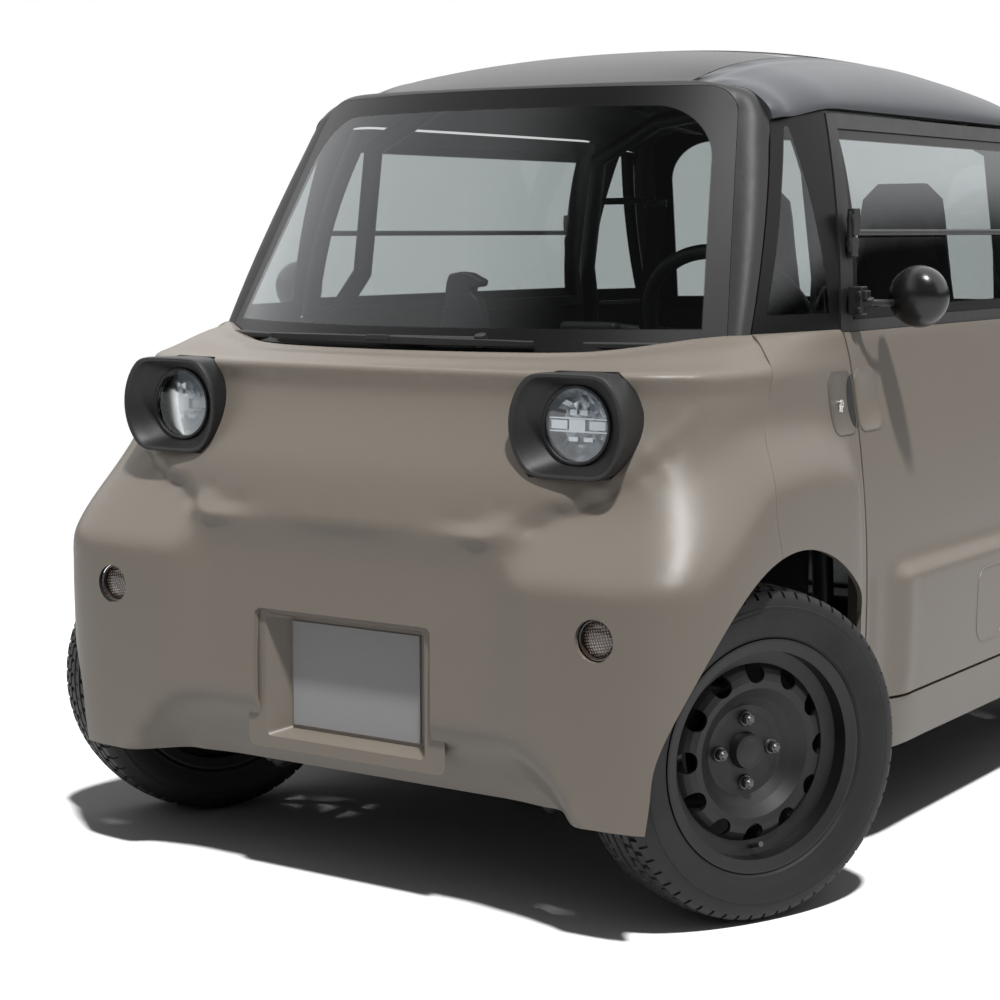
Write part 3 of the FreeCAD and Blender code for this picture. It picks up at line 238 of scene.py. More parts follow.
def metal_paint(name, colour, roughness, metallic=0.0, speck=0.06, grain=120.0):
    """Painted or coated metal with a slight unevenness of colour and gloss."""
    finish = Finish(name)
    cloud = finish.noise(14.0, 5.0)
    fine = finish.noise(grain, 3.0)
    base = finish.mix(shade(colour, 1 - speck), shade(colour, 1 + speck), cloud)
    rough = roughness - 0.06 + 0.12 * fine
    return finish.end(finish.surface(base_color=base, roughness=rough, metallic=metallic,
                                     normal=finish.bump(fine, 0.00008, 0.5)))


def tyre_finish(name, colour):
    """Rubber, greyer where dust lies on the shoulders, with fine moulding lines."""
    finish = Finish(name)
    dust = finish.noise(9.0, 5.0).smooth(0.45, 0.75)
    fine = finish.noise(260.0, 3.0)
    base = finish.mix(colour, shade(colour, 1.7), 0.55 * dust)
    rough = 0.56 + 0.16 * fine + 0.1 * dust
    return finish.end(finish.surface(base_color=base, roughness=rough, normal=finish.bump(fine, 0.0001, 0.6)))


def pane_finish(name, tint, border=None):
    """Tinted pane: clear with a mirror gloss that grows towards grazing, black where border gives 1."""
    finish = Finish(name)
    clear = finish.node("BsdfTransparent", None, {"Color": tint})
    gloss = finish.node("BsdfAnisotropic", None, {"Color": (0.9, 0.92, 0.94), "Roughness": 0.02})
    mirror = finish.node("Fresnel", None, {"IOR": 1.5})
    outer = 1.0 - finish.node("NewGeometry", output="Backfacing")
    shader = finish.node("MixShader", None, {0: mirror * outer * 0.95, 1: clear, 2: gloss})
    if border:
        x, y, z = finish.axes(finish.object_place())
        speck = finish.noise(300.0, 2.0)
        black = finish.surface(base_color=finish.mix((0.004, 0.004, 0.0045), (0.008, 0.008, 0.009), speck),
                               roughness=0.3 + 0.08 * speck, specular_ior_level=0.15)
        shader = finish.node("MixShader", None, {0: border(x, y, z), 1: shader, 2: black})
    return finish.end(shader)


# The screens: half width and height at the foot, how much narrower they get per metre up, top, corner radius
SCREEN_FOOT_X, SCREEN_FOOT_Z, SCREEN_TAPER, SCREEN_TOP_Z, SCREEN_CORNER = 0.546, 0.931, 0.2126, 1.387, 0.13
ROOF_PANE_CLEAR = 0.245


def screen_border(x, y, z):
    """Black edge of the windscreen and rear window, 36 mm wide at the sides."""
    edge = SCREEN_FOOT_X - (z - SCREEN_FOOT_Z) * SCREEN_TAPER - abs(x)
    top = SCREEN_TOP_Z - z
    near_edge, near_top = [(SCREEN_CORNER - gap).most(0.0) for gap in (edge, top)]
    corner = SCREEN_CORNER - (near_edge ** 2.0 + near_top ** 2.0) ** 0.5
    return 1.0 - corner.least(z - SCREEN_FOOT_Z - 0.004).smooth(0.034, 0.037)


def roof_border(x, y, z):
    """Black band across each end of the roof glass."""
    return abs(y).smooth(ROOF_PANE_CLEAR, ROOF_PANE_CLEAR + 0.005)


def side_border(low, high, front, rear, lean, width):
    """Black edge of a side pane whose ends lean in by lean from low to high."""
    def mask(x, y, z):
        up = (z - low) / (high - low)
        first = abs(y) - front
        last = rear - lean * up - abs(y)
        near = first.least(last).least(z - low).least(high - z)
        return 1.0 - near.smooth(width - 0.0015, width + 0.0015)
    return mask


def fabric_finish(name, colour, pitch=420.0):
    """Woven cover: two crossed sets of threads, a soft sheen and a little pilling."""
    finish = Finish(name)
    x, y, z = finish.axes(finish.object_place())
    weave = finish.wave(x + z * 0.5, pitch * math.pi) * finish.wave(y + z, pitch * math.pi)
    pile = finish.noise(60.0, 4.0)
    base = finish.mix(shade(colour, 0.75), shade(colour, 1.3), weave * 0.3 + pile * 0.7)
    bump = finish.bump(weave + pile * 0.8, 0.0004, 0.7)
    return finish.end(finish.surface(base_color=base, roughness=0.86 + 0.1 * pile, normal=bump, sheen_weight=0.25))


def make_finishes(look):
    """Every material by name, and the record's slots that each one covers."""
    dark = (0.012, 0.012, 0.0125)
    return {
        "body_grey": panel_finish("panel_grey", look.body, dark),
        "roof_grey": panel_finish("roof_slate", look.roof, dark, 0.42),
        "trim_black": grained_plastic("trim_grained", look.trim),
        "trim_dark": grained_plastic("trim_dark", shade(look.cabin, 0.611), 0.55),
        "seat_shell": grained_plastic("seat_moulding", look.cabin, 0.55),
        "window_glass": pane_finish("pane_plain", look.glass),
        "screen_glass": pane_finish("pane_screen", look.glass, screen_border),
        "roof_glass": pane_finish("pane_roof", shade(look.glass, 0.16), roof_border),
        "door_glass": pane_finish("pane_door", look.glass, side_border(
            low=0.978, high=1.317, front=-1.0, rear=0.501, lean=0.055, width=0.02)),
        "quarter_glass": pane_finish("pane_quarter", look.glass, side_border(
            low=0.962, high=1.345, front=0.541, rear=0.796, lean=0.2, width=0.03)),
        "lamp_clear": lens_finish("lamp_lens", (0.93, 0.95, 0.96)),
        "lamp_chrome": metal_paint("lamp_chrome", (0.82, 0.83, 0.85), 0.3, 1.0, speck=0.02),
        "lamp_amber": amber_finish("indicator_amber", look.indicator),
        "plate_grey": metal_paint("plate_blank", look.plate, 0.42, speck=0.02),
        "tube_steel": metal_paint("tube_black", (0.016, 0.016, 0.017), 0.45),
        "arm_steel": metal_paint("running_gear", (0.03, 0.03, 0.031), 0.55, 0.3),
        "block_grey": metal_paint("cast_housing", (0.18, 0.18, 0.185), 0.5, 0.8),
        "rim_grey": metal_paint("rim_satin", look.rim, 0.5),
        "bolt_steel": metal_paint("bolt_steel", (0.12, 0.12, 0.125), 0.4, 0.8),
        # Body colour darkened for the handle pockets: painted shade of the recess, not a colour of the panel
        "body_painted_shade": metal_paint("panel_painted_shade", shade(look.body, 0.62), 0.5, speck=0.05),
        # Near black for the handle's finger hole: painted shadow of the gap behind the door's edge
        "finger_hole_painted_shadow": metal_paint("finger_hole_painted_shadow", (0.004, 0.004, 0.004), 0.7),
        "mirror_shell": metal_paint("mirror_shell", (0.012, 0.012, 0.0125), 0.24),
        "indicator_rim": metal_paint("indicator_rim", (0.05, 0.035, 0.03), 0.2),
        "belt_tongue": metal_paint("belt_tongue", (0.72, 0.72, 0.7), 0.35, 0.2),
        "bright_metal": metal_paint("bright_metal", (0.62, 0.61, 0.59), 0.25, 1.0),
        "tyre_black": tyre_finish("tyre_rubber", look.tyre),
        "wheel_black": grained_plastic("wheel_skin", (0.012, 0.012, 0.0125), 0.48, 500.0),
        "seat_fabric": fabric_finish("seat_cover", look.fabric),
        "belt_web": fabric_finish("belt_webbing", (0.013, 0.013, 0.0135), 900.0),
    }


def lens_finish(name, tint):
    """Clear moulded lens, nearly all seen through, with gloss."""
    finish = Finish(name)
    clear = finish.node("BsdfTransparent", None, {"Color": tint})
    gloss = finish.node("BsdfAnisotropic", None, {"Color": (1.0, 1.0, 1.0), "Roughness": 0.03})
    mirror = finish.node("Fresnel", None, {"IOR": 1.45})
    return finish.end(finish.node("MixShader", None, {0: mirror, 1: clear, 2: gloss}))


RIB_PITCH = 620.0


def amber_finish(name, colour):
    """Smoked amber lens over a facetted reflector, seen as crossed ribs."""
    finish = Finish(name)
    x, y, z = finish.axes(finish.object_place())
    facets = abs(finish.wave(x + z * 0.35, RIB_PITCH)) * abs(finish.wave(z - x * 0.2, RIB_PITCH))
    base = finish.mix(shade(colour, 0.45), (0.62, 0.52, 0.45), facets.smooth(0.3, 0.95))
    return finish.end(finish.surface(base_color=base, roughness=0.22, coat_weight=1.0, coat_roughness=0.05,
                                     normal=finish.bump(facets, 0.0015, 0.8)))


# Mesh making

SHARP_ANGLE = math.radians(32)


def mesh_piece(name, bm, finish, sharp=SHARP_ANGLE):
    """Object from a bmesh, smooth shaded apart from the edges that turn by more than sharp."""
    bmesh.ops.recalc_face_normals(bm, faces=bm.faces)
    for face in bm.faces:
        face.smooth = True
    for edge in bm.edges:
        edge.smooth = len(edge.link_faces) == 2 and edge.calc_face_angle(0.0) < sharp
    mesh = bpy.data.meshes.new(name)
    bm.to_mesh(mesh)
    bm.free()
    piece = bpy.data.objects.new(name, mesh)
    bpy.context.scene.collection.objects.link(piece)
    mesh.materials.append(finish)
    return piece


def turned(profile, angle):
    """A profile of (x, radius) turned about X by an angle."""
    return [(x, r * math.sin(angle), r * math.cos(angle)) for x, r in profile]


def add_grid(bm, grid, closed=False, ring=False):
    """Faces over rows of points; closed joins the last column to the first, ring the last row to the first."""
    rows = [[bm.verts.new(point) for point in line] for line in grid]
    columns = len(grid[0])
    for first, second in zip(rows, rows[1:] + rows[:1] if ring else rows[1:]):
        for j in range(columns if closed else columns - 1):
            k = (j + 1) % columns
            bm.faces.new((first[j], first[k], second[k], second[j]))
    return rows


def add_prism(bm, grid):
    """Closed bar over rows of points, filled at its two ends."""
    rows = add_grid(bm, grid, closed=True)
    bm.faces.new(rows[0])
    bm.faces.new(rows[-1][::-1])


def lathed(bm, profile, count):
    """Adds a surface of revolution about local X; profile is (x, radius) in metres."""
    add_grid(bm, [turned(profile, 2 * math.pi * k / count) for k in range(count)], ring=True)
    bmesh.ops.remove_doubles(bm, verts=bm.verts, dist=1e-6)


def closed_lathe(name, profile, count, finish, matrix, sharp=SHARP_ANGLE):
    bm = bmesh.new()
    lathed(bm, profile, count)
    bmesh.ops.transform(bm, matrix=matrix, verts=bm.verts)
    return mesh_piece(name, bm, finish, sharp)


def add_block(bm, centre, size, matrix=Matrix.Identity(4)):
    made = bmesh.ops.create_cube(bm, size=1.0)["verts"]
    bmesh.ops.transform(bm, matrix=matrix @ Matrix.Translation(centre) @ Matrix.Diagonal((*size, 1.0)), verts=made)
    return made


def add_rod(bm, start, end, radius, count=16, end_radius=None):
    start, end = Vector(start), Vector(end)
    turn = (end - start).to_track_quat("Z", "Y").to_matrix().to_4x4()
    made = bmesh.ops.create_cone(bm, cap_ends=True, segments=count, radius1=radius,
                                 radius2=radius if end_radius is None else end_radius,
                                 depth=(end - start).length)["verts"]
    bmesh.ops.transform(bm, matrix=Matrix.Translation((start + end) / 2) @ turn, verts=made)
    return made


def bevelled(piece, width, segments=2, angle=30):
    bevel = piece.modifiers.new("edges", "BEVEL")
    bevel.width, bevel.segments, bevel.limit_method = width, segments, "ANGLE"
    bevel.angle_limit = math.radians(angle)
    return piece


def tube(name, points, radius, finish, smooth=True):
    """Round bar or hose along points."""
    curve = bpy.data.curves.new(name, "CURVE")
    curve.dimensions = "3D"
    curve.bevel_depth, curve.bevel_resolution, curve.use_fill_caps = radius, 5, True
    spline = curve.splines.new("NURBS" if smooth else "POLY")
    spline.points.add(len(points) - 1)
    for target, point in zip(spline.points, points):
        target.co = (*point, 1.0)
    if smooth:
        spline.order_u, spline.use_endpoint_u = 3, True
    piece = bpy.data.objects.new(name, curve)
    bpy.context.scene.collection.objects.link(piece)
    curve.materials.append(finish)
    return piece


def strap(name, points, across, width, thickness, finish):
    """Flat webbing along points, with its width along across."""
    bm = bmesh.new()
    grid = []
    for k, point in enumerate(points):
        point = Vector(point)
        along = (Vector(points[min(k + 1, len(points) - 1)]) - Vector(points[max(k - 1, 0)])).normalized()
        side = (Vector(across) - along * along.dot(Vector(across))).normalized()
        out = along.cross(side)
        half, lift = side * width / 2, out * thickness / 2
        grid.append([point - half - lift, point + half - lift, point + half + lift, point - half + lift])
    add_prism(bm, grid)
    return mesh_piece(name, bm, finish)


def seat_on(piece, body, slot, *nodes):
    """Gives a piece its body and names the nodes that it stands for, hiding them; the slot is not used."""
    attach(piece, body)
    if nodes:
        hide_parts(*nodes)
    return piece


class MicrocarLook(bpy.types.PropertyGroup):
    """Colours of the car's finishes, as linear values."""

    def colour(name, text, value):
        return bpy.props.FloatVectorProperty(name=name, description=text, size=3, subtype="COLOR", default=value)

    body: colour("Body", "Outer panels", (0.215, 0.186, 0.154))
    roof: colour("Roof", "Roof sides", (0.078, 0.082, 0.092))
    trim: colour("Trim", "Outer mouldings and lamp housings", (0.01092, 0.01113, 0.01176))
    cabin: colour("Cabin", "Seat mouldings; the dashboard is darker", (0.0234, 0.02385, 0.0252))
    rim: colour("Rim", "Wheel rims", (0.0036, 0.0036, 0.0037))
    tyre: colour("Tyre", "Rubber", (0.0023, 0.0023, 0.00236))
    glass: colour("Glass", "What passes one face of a pane", (0.75, 0.77, 0.77))
    indicator: colour("Indicator", "Smoked amber", (0.13, 0.065, 0.045))
    plate: colour("Plate", "Blank number plate", (0.325, 0.325, 0.3276))
    fabric: colour("Seat cover", "Woven seat cover", (0.028, 0.028, 0.03))


class MicrocarSizes(bpy.types.PropertyGroup):
    """Sizes of the fine parts."""

    def length(name, text, value):
        return bpy.props.FloatProperty(name=name, description=text, unit="LENGTH", default=value)

    tread_depth: length("Tread depth", "Depth of the tyre's grooves", 0.0062)
    groove_width: length("Groove width", "Width of the tyre's grooves", 0.0075)
    tread_pitches: bpy.props.IntProperty(name="Tread pitches", description="Blocks round the tyre", default=62)
    lens_radius: length("Lens radius", "Headlamp lens", 0.062)
    bolt_circle: length("Bolt circle", "Radius of the circle of wheel bolts", 0.054)
    belt_width: length("Belt width", "Seat belt webbing", 0.047)
    camera_lens: bpy.props.FloatProperty(name="Lens", description="Focal length", subtype="DISTANCE_CAMERA",
                                         default=79.157)


# Pieces

finishes = {}


def corners():
    """The four corners of the car: end, side, and a name such as front_left."""
    for end, end_name in ENDS:
        for side, side_name in SIDES:
            yield end, side, "%s_%s" % (end_name, side_name)


def at_end(end, side, offset, height):
    """Matrix for a round piece that looks out at an end of the car; its own X points outward."""
    return Matrix.Translation((side * offset, 0, height)) @ Matrix.Rotation(end * math.pi / 2, 4, "Z")


class MICROCAR_OT_finishes(bpy.types.Operator):
    """Puts a finish on every node of the frame"""
    bl_idname = "microcar.finishes"
    bl_label = "Finishes"

    def execute(self, context):
        finishes.update(make_finishes(context.scene.microcar_look))
        special = {
            "windshield": "screen_glass", "rear_window": "screen_glass", "roof_glass": "roof_glass",
            "door_glass_left": "door_glass", "door_glass_right": "door_glass",
            "quarter_glass_left": "quarter_glass", "quarter_glass_right": "quarter_glass",
            "dashboard": "trim_dark", "floor_pan": "tube_steel", "motor_block": "block_grey",
            "battery_box": "trim_dark",
        }
        for part in frame["record"]["subparts"]:
            node = frame["nodes"][part["node"]]
            name = special.get(part["node"], part["material_slot"])
            node.data.materials.clear()
            node.data.materials.append(finishes[name])
        return {"FINISHED"}


def wheel_places():
    """Each wheel's corner and the matrix from its own axes, X outward, to its place."""
    for end, side, corner in corners():
        joint = joint_named["wheel_%s_spin" % corner]
        outward = Vector(joint["axis"]) * side
        turn = Matrix.Rotation(math.atan2(outward.y, outward.x), 4, "Z")
        yield corner, Matrix.Translation(joint["pos_m"]) @ turn


# Half of a tyre's section from the bead to the middle of the tread: distance from the middle, radius
TYRE_SIDE = (
    (0.0555, 0.1786), (0.0585, 0.1865), (0.0600, 0.1950), (0.0640, 0.1985), (0.0668, 0.2012), (0.0672, 0.2042),
    (0.0690, 0.2080), (0.0722, 0.2160), (0.0750, 0.2245), (0.0766, 0.2330), (0.0773, 0.2400), (0.0771, 0.2425),
    (0.0761, 0.2432), (0.0760, 0.2500), (0.0751, 0.2510), (0.0735, 0.2580), (0.0716, 0.2630),
)
SHOULDER = ((0.0690, 0.2672), (0.0655, 0.2706), (0.0615, 0.2733))
SHOULDER_CUT = 0.0028
BEAD = ((-0.045, 0.1784), (0.045, 0.1784))
RIB_BAND, RIB_RISE = (0.2433, 0.2505), 0.0005
# Circumferential grooves: distance from the middle of the tread, share of the full width
GROOVES = ((0.0, 1.0), (0.0235, 1.0), (0.0425, 0.55))
GROOVE_LIP = 0.0009
TREAD_EDGE, TREAD_CROWN = 0.0570, 0.0052
BETWEEN_GROOVES = (0.0115, 0.0165, 0.033, 0.050)
# Steps round one pitch of the tread, at the edges of its lateral grooves and sipes
PHASES = (0.0, 0.015, 0.185, 0.2, 0.43, 0.445, 0.525, 0.54, 0.79, 0.805, 0.885, 0.9)


def tread_radius(x, outer):
    return outer - TREAD_CROWN * (abs(x) / TREAD_EDGE) ** 2.4


def tread_section(sizes):
    """Points across the tread: (x, depth of the circumferential groove there)."""
    halves = [(groove, sizes.groove_width / 2 * share) for groove, share in GROOVES]
    places = {-TREAD_EDGE, TREAD_EDGE}
    for groove, half in halves:
        for sign in (-1, 1):
            for offset in (-half, GROOVE_LIP - half, half - GROOVE_LIP, half):
                places.add(round(sign * groove + offset, 6))
    for x in BETWEEN_GROOVES:
        places.update((-x, x))

    def depth(x):
        inside = any(abs(abs(x) - groove) < half - 0.0005 for groove, half in halves)
        return sizes.tread_depth if inside else 0.0

    return [(x, depth(x)) for x in sorted(places)]


def lateral_depth(x, phase, side_shift):
    """Share of the full depth that a lateral groove or sipe has at x and at a phase of the pitch."""
    a = abs(x)
    phase = (phase + side_shift * (x > 0)) % 1.0
    if a > 0.044:
        return 1.0 if phase < 0.2 else 0.0
    if a > 0.0255:
        return 0.75 if 0.42 < phase < 0.54 else 0.0
    if a > 0.0045:
        return 0.75 if 0.78 < (phase + a * 9) % 1.0 < 0.9 else 0.0
    return 0.0


class MICROCAR_OT_tyres(bpy.types.Operator):
    """Tyres with side wall ribs, circumferential grooves and tread blocks"""
    bl_idname = "microcar.tyres"
    bl_label = "Tyres"

    def execute(self, context):
        sizes = context.scene.microcar_sizes
        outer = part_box("tyre_rear_left")[1].z / 2
        section = tread_section(sizes)
        rows = []
        for k in range(sizes.tread_pitches * len(PHASES)):
            pitch, step = divmod(k, len(PHASES))
            phase = PHASES[step]
            half = self.side_wall(phase, step)
            tread = []
            for x, depth in reversed(section):
                cut = lateral_depth(x, phase + 0.002, 0.5) * sizes.tread_depth
                tread.append((x, tread_radius(x, outer) - max(depth, cut)))
            whole = half + tread + [(-x, r) for x, r in reversed(half)] + list(BEAD)
            rows.append(turned(whole, 2 * math.pi * (pitch + phase) / sizes.tread_pitches))
        bm = bmesh.new()
        add_grid(bm, rows, closed=True, ring=True)
        template = mesh_piece("tyre_template", bm, finishes["tyre_black"], math.radians(28))
        for corner, matrix in wheel_places():
            piece = bpy.data.objects.new("tyre_%s_tread" % corner, template.data)
            bpy.context.scene.collection.objects.link(piece)
            piece.matrix_world = matrix
            seat_on(piece, "wheel_" + corner, "tyre_black", "tyre_" + corner)
        bpy.data.objects.remove(template)
        return {"FINISHED"}

    def side_wall(self, phase, step):
        """Outer half of the section, from the bead to the shoulder, at a step of the pitch."""
        rib = RIB_RISE if step % 2 else 0.0
        cut = SHOULDER_CUT if 0.005 < phase < 0.19 else 0.0
        low, high = RIB_BAND
        wall = [(x + (rib if low < r < high else 0.0), r) for x, r in TYRE_SIDE]
        return wall + [(x - cut, r - cut) for x, r in SHOULDER]


BOLT_COUNT = 4
# Centre cap and the foot of a bolt: distance out from the wheel's middle, radius
CAP_PROFILE = ((0.0245, 0.0), (0.0285, 0.0), (0.0285, 0.012), (0.0268, 0.0165), (0.0262, 0.0215), (0.0235, 0.0255))
BOLT_PROFILE = ((0.006, 0.0135), (0.0095, 0.0135), (0.0125, 0.0118), (0.0125, 0.0085), (0.0128, 0.0082))


class MICROCAR_OT_wheel_trim(bpy.types.Operator):
    """Wheel bolts, centre caps and valve stems"""
    bl_idname = "microcar.wheel_trim"
    bl_label = "Wheel trim"

    def execute(self, context):
        circle = context.scene.microcar_sizes.bolt_circle
        for corner, matrix in wheel_places():
            bm = bmesh.new()
            for k in range(BOLT_COUNT):
                turn = Matrix.Rotation(2 * math.pi / BOLT_COUNT * k, 4, "X") @ Matrix.Translation((0, 0, circle))
                part = bmesh.new()
                lathed(part, BOLT_PROFILE, 24)
                add_rod(part, (0.012, 0, 0), (0.0235, 0, 0), 0.0092, 6)
                add_rod(part, (0.0225, 0, 0), (0.0262, 0, 0), 0.0075, 20, 0.0045)
                bmesh.ops.transform(part, matrix=turn, verts=part.verts)
                mesh = bpy.data.meshes.new("bolt")
                part.to_mesh(mesh)
                part.free()
                bm.from_mesh(mesh)
                bpy.data.meshes.remove(mesh)
            add_rod(bm, (0.012, 0.0, -0.163), (0.046, 0.0, -0.152), 0.0052, 14, 0.0042)
            add_rod(bm, (0.045, 0.0, -0.1523), (0.056, 0.0, -0.1488), 0.0047, 14)
            bm.transform(matrix)
            seat_on(mesh_piece("wheel_bolts_" + corner, bm, finishes["bolt_steel"]), "wheel_" + corner, "rim_grey")
            piece = closed_lathe("wheel_cap_" + corner, CAP_PROFILE, 40, finishes["trim_black"], matrix)
            seat_on(piece, "wheel_" + corner, "rim_grey")
        return {"FINISHED"}


def lamp_outline(angle, radius, flat, power=16.0):
    """Round outline cut flat above and below, with rounded corners."""
    rise = abs(math.sin(angle))
    return (radius ** -power + (rise / flat) ** power) ** (-1 / power)


# Lamp housing from its back edge over the rim into the mouth: distance from the middle of the car,
# radius, half height between the flats, in metres
HOUSING = (
    (1.0585, 0.0968, 0.0838), (1.075, 0.0995, 0.0845), (1.100, 0.1035, 0.0850), (1.128, 0.1078, 0.0855),
    (1.1375, 0.1090, 0.0856), (1.1430, 0.1088, 0.0850), (1.1458, 0.1070, 0.0832), (1.1460, 0.1042, 0.0806),
    (1.1445, 0.1010, 0.0782), (1.1400, 0.0985, 0.0765), (1.1290, 0.0880, 0.0730), (1.1180, 0.0770, 0.0690),
    (1.1120, 0.0715, 0.0672), (1.1095, 0.0690, 0.0664), (1.1080, 0.0655, 0.0650), (1.0740, 0.0645, 0.0645),
)


class MICROCAR_OT_headlamps(bpy.types.Operator):
    """Lamp housings, facetted reflectors and their lenses"""
    bl_idname = "microcar.headlamps"
    bl_label = "Headlamps"

    def execute(self, context):
        low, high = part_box("lamp_bezels")
        lens_low, lens_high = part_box("lamp_lenses")
        height = (lens_low.z + lens_high.z) / 2
        radius = (lens_high.z - lens_low.z) / 2
        offset = lens_high.x - radius
        for end, side, corner in corners():
            matrix = at_end(end, side, offset, height)
            self.housing(corner, matrix)
            self.reflector(corner, matrix, radius)
            self.lens(corner, matrix, radius)
        return {"FINISHED"}

    def housing(self, name, matrix):
        bm = bmesh.new()
        count = 160
        grid = []
        for reach, radius, flat in HOUSING:
            line = []
            for k in range(count):
                angle = 2 * math.pi * k / count
                r = lamp_outline(angle, radius, flat)
                line.append((reach, r * math.cos(angle), r * math.sin(angle)))
            grid.append(line)
        add_grid(bm, grid, True)
        bm.transform(matrix)
        seat_on(mesh_piece("lamp_housing_" + name, bm, finishes["trim_black"], math.radians(50)),
                "chassis", "trim_black", "lamp_bezels")

    def reflector(self, name, matrix, radius):
        bm = bmesh.new()
        around, steps = 30, (1.0, 0.82, 0.64, 0.46, 0.3, 0.12)
        grid = []
        for step, share in enumerate(steps):
            line = []
            for k in range(around):
                angle = 2 * math.pi * (k + 0.5 * (step % 2)) / around
                wave = 0.0016 * math.sin(7 * angle + step * 1.9)
                r = (radius - 0.003) * share
                line.append((1.1065 - 0.030 * (1 - share ** 2.2) + wave, r * math.cos(angle), r * math.sin(angle)))
            grid.append(line)
        rows = add_grid(bm, grid, True)
        bm.faces.new(rows[-1])
        for face in bm.faces:
            face.smooth = False
        bar = radius * 0.92
        for y, width in ((-0.036, 0.030), (0.036, 0.030)):
            add_block(bm, (1.0975, y, 0), (0.012, width, 0.014))
        add_block(bm, (1.100, 0, 0), (0.014, 0.030, 0.0185))
        for sign in (-1, 1):
            add_block(bm, (1.1025, 0, sign * 0.0105), (0.003, 2 * bar * 0.93, 0.0024))
            add_block(bm, (1.0985, sign * 0.010, 0.020), (0.008, 0.013, 0.008))
            add_block(bm, (1.0985, 0.004 + sign * 0.014, -0.023), (0.008, 0.017, 0.007))
        bm.transform(matrix)
        seat_on(mesh_piece("lamp_reflector_" + name, bm, finishes["lamp_chrome"], math.radians(4)),
                "chassis", "lamp_clear", "lamp_lenses")
        ring = [(1.1085, radius + 0.0022), (1.1125, radius + 0.0012), (1.1130, radius - 0.0016),
                (1.1112, radius - 0.0036), (1.1080, radius - 0.0040), (1.1080, radius + 0.0022)]
        seat_on(closed_lathe("lamp_ring_" + name, ring, 96, finishes["trim_dark"], matrix), "chassis", "trim_black")

    def lens(self, name, matrix, radius):
        inside = radius - 0.0025
        shares = [k / 8 for k in range(9)]
        back = [(1.1095 - 0.0035 * share ** 2, inside * share) for share in shares]
        front = [(1.1128 - 0.0038 * share ** 2, inside * share) for share in reversed(shares)]
        piece = closed_lathe("lamp_lens_" + name, back + front, 96, finishes["lamp_clear"], matrix)
        seat_on(piece, "chassis", "lamp_clear", "lamp_lenses")


def surface_x(node, side, y, z):
    """Outermost x of a node's surface at y and z, in metres."""
    hit, place, normal, index = frame["nodes"][node].ray_cast((side * 1.2, y, z), (-side, 0, 0))
    if not hit:
        raise RuntimeError("%s has no surface at %.3f %.3f" % (node, y, z))
    return abs(place.x)


def outline_points(low_y, high_y, low_z, high_z, corner, steps=8):
    """Rounded rectangle in y and z, anticlockwise."""
    points = []
    for k, (cy, cz) in enumerate(((high_y, high_z), (low_y, high_z), (low_y, low_z), (high_y, low_z))):
        middle_y = cy - math.copysign(corner, cy - (low_y + high_y) / 2)
        middle_z = cz - math.copysign(corner, cz - (low_z + high_z) / 2)
        for j in range(steps + 1):
            angle = math.pi / 2 * (k + j / steps)
            points.append((middle_y + corner * math.cos(angle), middle_z + corner * math.sin(angle)))
    return points


def shrunk(points, share):
    middle_y = sum(y for y, z in points) / len(points)
    middle_z = sum(z for y, z in points) / len(points)
    return [(middle_y + (y - middle_y) * share, middle_z + (z - middle_z) * share) for y, z in points]


def inlay(name, node, side, rings, finish, filled=True, sharp=math.radians(40)):
    """Dish or rim on a node's side: rings are (points, height off the surface); filled closes the last one."""
    bm = bmesh.new()
    grid = [[(side * (surface_x(node, side, y, z) + lift), y, z) for y, z in points] for points, lift in rings]
    rows = add_grid(bm, grid, closed=True)
    if filled:
        bm.faces.new(rows[-1])
    return mesh_piece(name, bm, finish, sharp)


def quarter_turn(steps):
    return [math.pi / 2 * k / steps for k in range(steps + 1)]


# Rim of an indicator: how far behind its front, how far inside its outer radius
INDICATOR_RIM = (
    (0.02, 0.0), (0.002, 0.0), (0.0, 0.0015), (0.001, 0.0035), (0.009, 0.0048), (0.02, 0.0048), (0.02, 0.0),
)


class MICROCAR_OT_indicators(bpy.types.Operator):
    """Round indicator lenses in their rims"""
    bl_idname = "microcar.indicators"
    bl_label = "Indicators"

    def execute(self, context):
        low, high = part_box("indicators")
        radius = (high.z - low.z) / 2
        reach = high.y
        lens = [(reach - 0.012, radius - 0.0045), (reach - 0.0085, radius - 0.0055)]
        lens += [(reach - 0.0085 + 0.006 * math.sin(a), (radius - 0.006) * math.cos(a)) for a in quarter_turn(8)]
        rim = [(reach - back, radius - inward) for back, inward in INDICATOR_RIM]
        for end, side, corner in corners():
            matrix = at_end(end, side, high.x - radius, (low.z + high.z) / 2)
            seat_on(closed_lathe("indicator_lens_" + corner, lens, 64, finishes["lamp_amber"], matrix),
                    "chassis", "lamp_amber", "indicators")
            seat_on(closed_lathe("indicator_rim_" + corner, rim, 64, finishes["indicator_rim"], matrix),
                    "chassis", "lamp_amber", "indicators")
        return {"FINISHED"}


